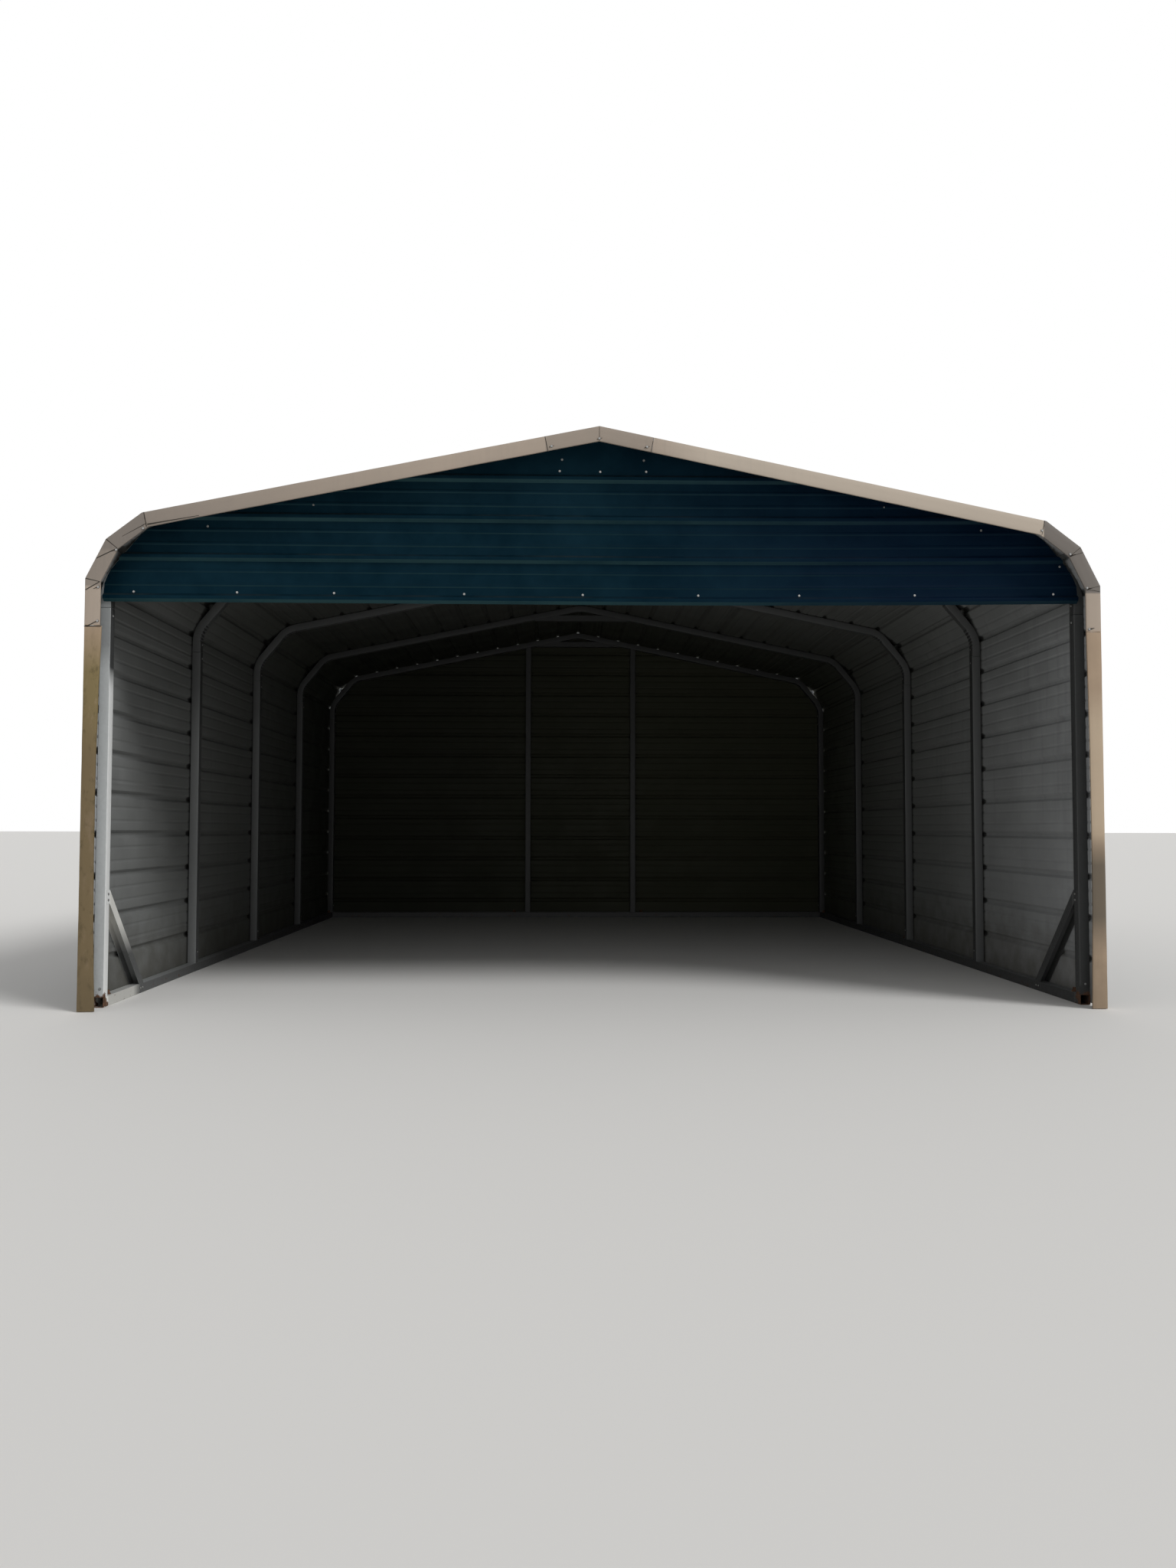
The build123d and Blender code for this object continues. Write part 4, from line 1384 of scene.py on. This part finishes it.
class CARPORT_OT_build_sheeting(bpy.types.Operator):
    """Builds the ribbed sheets of both walls, the corners and the roof"""

    bl_idname = "carport.build_sheeting"
    bl_label = "Walls and roof"

    def execute(self, context):
        line, wall_ribs, ridge = station_line()
        corner_lap, roof_lap, last_lap = wall_ribs - 1, wall_ribs - 1 + SHEET_PITCHES, ridge - 2
        skirt_path = [Vector((-HALF_WIDTH, SKIRT_BOTTOM)), line[0], line[1]]
        skirt = [skirt_path[0]] + rib_points(skirt_path, 1) + [line[0] + UP * LAP_TAIL]
        lines = {"wall_sheet_1": skirt}
        counts = {"wall": 1, "corner": 0, "roof": 0}
        laps = shared_laps(0, corner_lap) + shared_laps(roof_lap, last_lap)
        for first, last in zip(laps, laps[1:]):
            region = "wall" if last <= corner_lap else "roof" if first >= roof_lap else "corner"
            counts[region] += 1
            lines[f"{region}_sheet_{counts[region]}"] = sheet_line(line, first, last, "over", "under")
        for name, points in lines.items():
            long_sheet(f"left_{name}", points)
            long_sheet(f"right_{name}", turned_back(points))
        long_sheet("ridge_sheet", sheet_line(line, last_lap, 2 * ridge - last_lap, "over", "over"))
        return {"FINISHED"}


class CARPORT_OT_build_end_walls(bpy.types.Operator):
    """Builds the front gable and the back wall from level ribbed sheets"""

    bl_idname = "carport.build_end_walls"
    bl_label = "Gable and back wall"

    def execute(self, context):
        pitch = settings("sheeting").pitch
        path, below, ridge_height = end_stations()
        top = len(path) - 1
        front_path = [p + UP * GABLE_RISE for p in path]
        points = sheet_line(front_path, below, top, "foot", ridge_height + 0.04)
        end_sheet("front_gable_ribbed", "front_gable_sheet", points, GABLE_INSET, -1, GABLE_CORNERS, settled)
        first_lap = math.floor((SHEET_PITCHES * pitch + SKIRT_BOTTOM - path[0].y) / pitch)
        laps = [0] + shared_laps(first_lap, below + 2) + [top]
        for number, (first, last) in enumerate(zip(laps, laps[1:]), start=1):
            first_end = SKIRT_BOTTOM if first == 0 else "over"
            last_end = ridge_height if last == top else "under"
            points = sheet_line(path, first, last, first_end, last_end)
            end_sheet(f"back_wall_{number}_ribbed", f"back_wall_sheet_{number}", points, BACK_INSET, 1)
        return {"FINISHED"}


class CARPORT_OT_build_trim(bpy.types.Operator):
    """Folds the edge trim of the front and the back, with its dents and its corner flaps"""

    bl_idname = "carport.build_trim"
    bl_label = "Edge trim"

    def execute(self, context):
        trim, runs = settings("trim"), trim_runs()
        wave = trim.waviness

        def fold(node, parts):
            finish_piece(add_piece(f"{node}_folded", joined(parts), TRIM_COATS), [node])

        # Painted shadow and dirt in the seam at the top of the left leg trim
        seam = Vector((-HALF_WIDTH, TRIM_SEAM - 0.004))
        ends = seam - Vector((TRIM_OUT, 0)), seam + Vector((trim.wide_face - TRIM_OUT, 0))
        left_leg = trim_band(runs["leg"], -1, wave * 2.4, trim.wide_face, trim.narrowing)
        right_leg = trim_band(opposite(runs["leg"]), -1, wave * 1.6, trim.face, trim.narrowing * 0.6)
        fold("front_leg_trim_left", [left_leg, shadow_and_dirt_line(*ends, 0.006, 0.003)])
        left_corner = trim_band(runs["corner"], -1, wave)
        fold("front_corner_trim_left", [left_corner] + corner_marks("left", runs["corner"]))
        fold("front_leg_trim_right", [right_leg])
        right_corner = trim_band(opposite(runs["corner"]), -1, wave)
        fold("front_corner_trim_right", [right_corner] + corner_marks("right", runs["corner"]))
        front = [trim_band(runs["slope"], -1, wave * 1.6), trim_band(opposite(runs["slope"]), -1, wave)]
        fold("front_roof_trim", front + [trim_band(runs["ridge"], -1, wave)] + roof_marks(runs))
        back = [trim_band(runs["ridge"], 1, wave)]
        for name in ("leg", "corner", "slope"):
            back += [trim_band(runs[name], 1, wave), trim_band(opposite(runs[name]), 1, wave)]
        fold("back_trim", back)
        return {"FINISHED"}


class CARPORT_OT_build_tubes(bpy.types.Operator):
    """Builds the legs, the bent bows and the header, and coats the other tubes with zinc"""

    bl_idname = "carport.build_tubes"
    bl_label = "Legs, bows and header"

    def execute(self, context):
        size, zinc, tree = settings("frame"), bpy.data.materials["zinc_coated_tube"], tube_tree()
        values = {
            "Width": TUBE,
            "Corner radius": size.corner_radius,
            "Crimp depth": size.crimp_depth,
            "Crimp pitch": size.crimp_pitch,
            "Material": zinc,
        }
        points, nodes = [], []
        for side, way in (("left", -1), ("right", 1)):
            for n, y in enumerate(FRAME_YS, start=1):
                nodes.append(f"{side}_leg_{n}")
                x = way * (HALF_WIDTH - TUBE / 2)
                points += [(x, y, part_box(nodes[-1])[0].z), (x, y, LEG_TOP - size.splice_gap)]
        edges = [(k, k + 1) for k in range(0, len(points), 2)]
        grow(carrier("legs", points, edges), tree, values, nodes)
        # Bows, crimped at their eaves and plain at the ridge and the ends
        middle, outer = bow_line(TUBE / 2, 48), bow_line(0.0, 48)
        out = [(q - p).normalized() for p, q in zip(middle, outer)]
        bend = [0.0 if abs(p.x) < 0.2 or p in (middle[0], middle[-1]) else 1.0 for p in middle]
        count = len(middle)
        points = [(p.x, y, p.y) for y in FRAME_YS for p in middle]
        edges = [(n * count + k, n * count + k + 1) for n in range(len(FRAME_YS)) for k in range(count - 1)]
        outward_ways = [(p.x, 0.0, p.y) for p in out] * len(FRAME_YS)
        bows = carrier("roof_bows", points, edges, outward=outward_ways, bend=bend * len(FRAME_YS))
        grow(bows, tree, values, [f"roof_bow_{n}" for n in range(1, 6)])
        low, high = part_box("gable_header")
        reach, height = high.x - 0.004, (low.z + high.z) / 2
        across = [reach * (k / 8 - 1) for k in range(17)]
        points = [(x, FRAME_YS[0], height + settled(x)) for x in across]
        header = carrier("gable_header_tube", points, [(k, k + 1) for k in range(16)])
        grow(header, tree, values, ["gable_header"])
        rails = ["left_base_rail", "right_base_rail", "back_base_rail"]
        braces = ["front_brace_left", "front_brace_right", "peak_braces", "back_post_left", "back_post_right"]
        for node in rails + braces:
            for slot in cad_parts[node].material_slots:
                slot.material = zinc
        return {"FINISHED"}


class CARPORT_OT_place_fasteners(bpy.types.Operator):
    """Drives the screws and the ground anchors"""

    bl_idname = "carport.place_fasteners"
    bl_label = "Screws and anchors"

    def execute(self, context):
        size, tree, spots = settings("fasteners"), screw_tree(), screw_spots()
        screws = carrier("screws", [p for p, _ in spots], [], facing=[way for _, way in spots])
        values = {
            "Head width": size.head_width,
            "Head height": size.head_height,
            "Washer width": size.washer_width,
            "Washer thickness": size.washer_thickness,
            "Stem length": 0.004,
            "Seed": 4,
            "Head material": bpy.data.materials["screw_zinc"],
            "Washer material": bpy.data.materials["washer_rubber"],
        }
        grow(screws, tree, values)
        rail_x, beside = HALF_WIDTH - TUBE / 2, ANCHOR_BESIDE_LEG
        ys = (FRAME_YS[0] + beside, FRAME_YS[2] + beside, FRAME_YS[-1] - beside)
        points = [(side * rail_x, y, TUBE) for side in (-1, 1) for y in ys]
        points += [(side * BACK_ANCHOR, FRAME_YS[-1], TUBE) for side in (-1, 1)]
        anchors = carrier("ground_anchors", points, [], facing=[(0.0, 0.0, 1.0)] * len(points))
        rusty = bpy.data.materials["rusted_anchor"]
        values.update({
            "Head width": size.anchor_width,
            "Head height": size.anchor_height,
            "Washer width": size.anchor_width * 1.5,
            "Washer thickness": 0.003,
            "Stem length": TUBE - 0.002,
            "Head material": rusty,
            "Washer material": rusty,
        })
        grow(anchors, tree, values)
        return {"FINISHED"}


class CARPORT_OT_set_stage(bpy.types.Operator):
    """Sets the pale floor, the soft lights and the camera"""

    bl_idname = "carport.set_stage"
    bl_label = "Stage"

    def execute(self, context):
        stage, scene = settings("stage"), context.scene
        pale = Finish("pale_floor")
        pale.surface({"Base Color": shaded(stage.floor_colour), "Roughness": 0.9})
        mesh = bpy.data.meshes.new("floor")
        mesh.from_pydata([(-300, -300, 0), (300, -300, 0), (300, 300, 0), (-300, 300, 0)], [], [(0, 1, 2, 3)])
        mesh.materials.append(pale.material)
        place_object("floor", mesh)
        scene.world = bpy.data.worlds.new("soft_sky")
        scene.world.use_nodes = True
        sky = Nodes(scene.world.node_tree)
        background = next(n for n in sky.tree.nodes if n.type == "BACKGROUND")
        path = sky.add("ShaderNodeLightPath")
        seen = sky.most(path["Is Camera Ray"], path["Is Glossy Ray"], path["Is Transmission Ray"])
        strength = sky.span(seen, 0.0, 1.0, stage.sky_strength, 1.0)
        fill(sky.tree, background.inputs, {"Strength": strength, "Color": (1.0, 1.0, 1.0, 1.0)})
        lamp = bpy.data.lights.new("soft_sun", "SUN")
        lamp.energy, lamp.angle = stage.sun_strength, math.radians(22)
        sun = place_object("soft_sun", lamp)
        sun.rotation_euler = Vector((0.62, -0.42, 0.66)).to_track_quat("Z", "Y").to_euler()
        view = bpy.data.cameras.new("camera")
        view.lens, view.sensor_width, view.sensor_fit, view.clip_end = stage.camera_lens, 36.0, "AUTO", 1000.0
        camera = place_object("camera", view)
        camera.location, camera.rotation_euler = stage.camera_place, stage.camera_turn
        scene.camera = camera
        scene.view_settings.view_transform = "Standard"
        return {"FINISHED"}


class CARPORT_PT_sidebar(bpy.types.Panel):
    """Carport tools in the sidebar of the 3D view"""

    bl_idname = "CARPORT_PT_sidebar"
    bl_label = "Carport"
    bl_space_type = "VIEW_3D"
    bl_region_type = "UI"
    bl_category = "Carport"

    def draw(self, context):
        for group, part in PROPERTY_GROUPS.items():
            self.layout.label(text=group.__doc__)
            for name in group.__annotations__:
                self.layout.prop(settings(part), name)
        for operator in OPERATORS:
            self.layout.operator(operator.bl_idname)


PROPERTY_GROUPS = {
    CarportSheeting: "sheeting",
    CarportTrim: "trim",
    CarportFrame: "frame",
    CarportFasteners: "fasteners",
    CarportStage: "stage",
}
OPERATORS = (
    CARPORT_OT_prepare_finishes,
    CARPORT_OT_set_stage,
    CARPORT_OT_build_sheeting,
    CARPORT_OT_build_end_walls,
    CARPORT_OT_build_trim,
    CARPORT_OT_build_tubes,
    CARPORT_OT_place_fasteners,
)


def register():
    """Registers the settings, the operators and the panel."""
    for group, part in PROPERTY_GROUPS.items():
        bpy.utils.register_class(group)
        setattr(bpy.types.Scene, "carport_" + part, bpy.props.PointerProperty(type=group))
    for item in OPERATORS + (CARPORT_PT_sidebar,):
        bpy.utils.register_class(item)


def unregister():
    """Takes them away again."""
    for item in reversed(OPERATORS + (CARPORT_PT_sidebar,)):
        bpy.utils.unregister_class(item)
    for group, part in PROPERTY_GROUPS.items():
        delattr(bpy.types.Scene, "carport_" + part)
        bpy.utils.unregister_class(group)


def main():
    """Builds the whole carport."""
    register()
    bpy.ops.carport.prepare_finishes()
    bpy.ops.carport.set_stage()
    bpy.ops.carport.build_sheeting()
    bpy.ops.carport.build_end_walls()
    bpy.ops.carport.build_trim()
    bpy.ops.carport.build_tubes()
    bpy.ops.carport.place_fasteners()


if __name__ == "__main__":
    main()
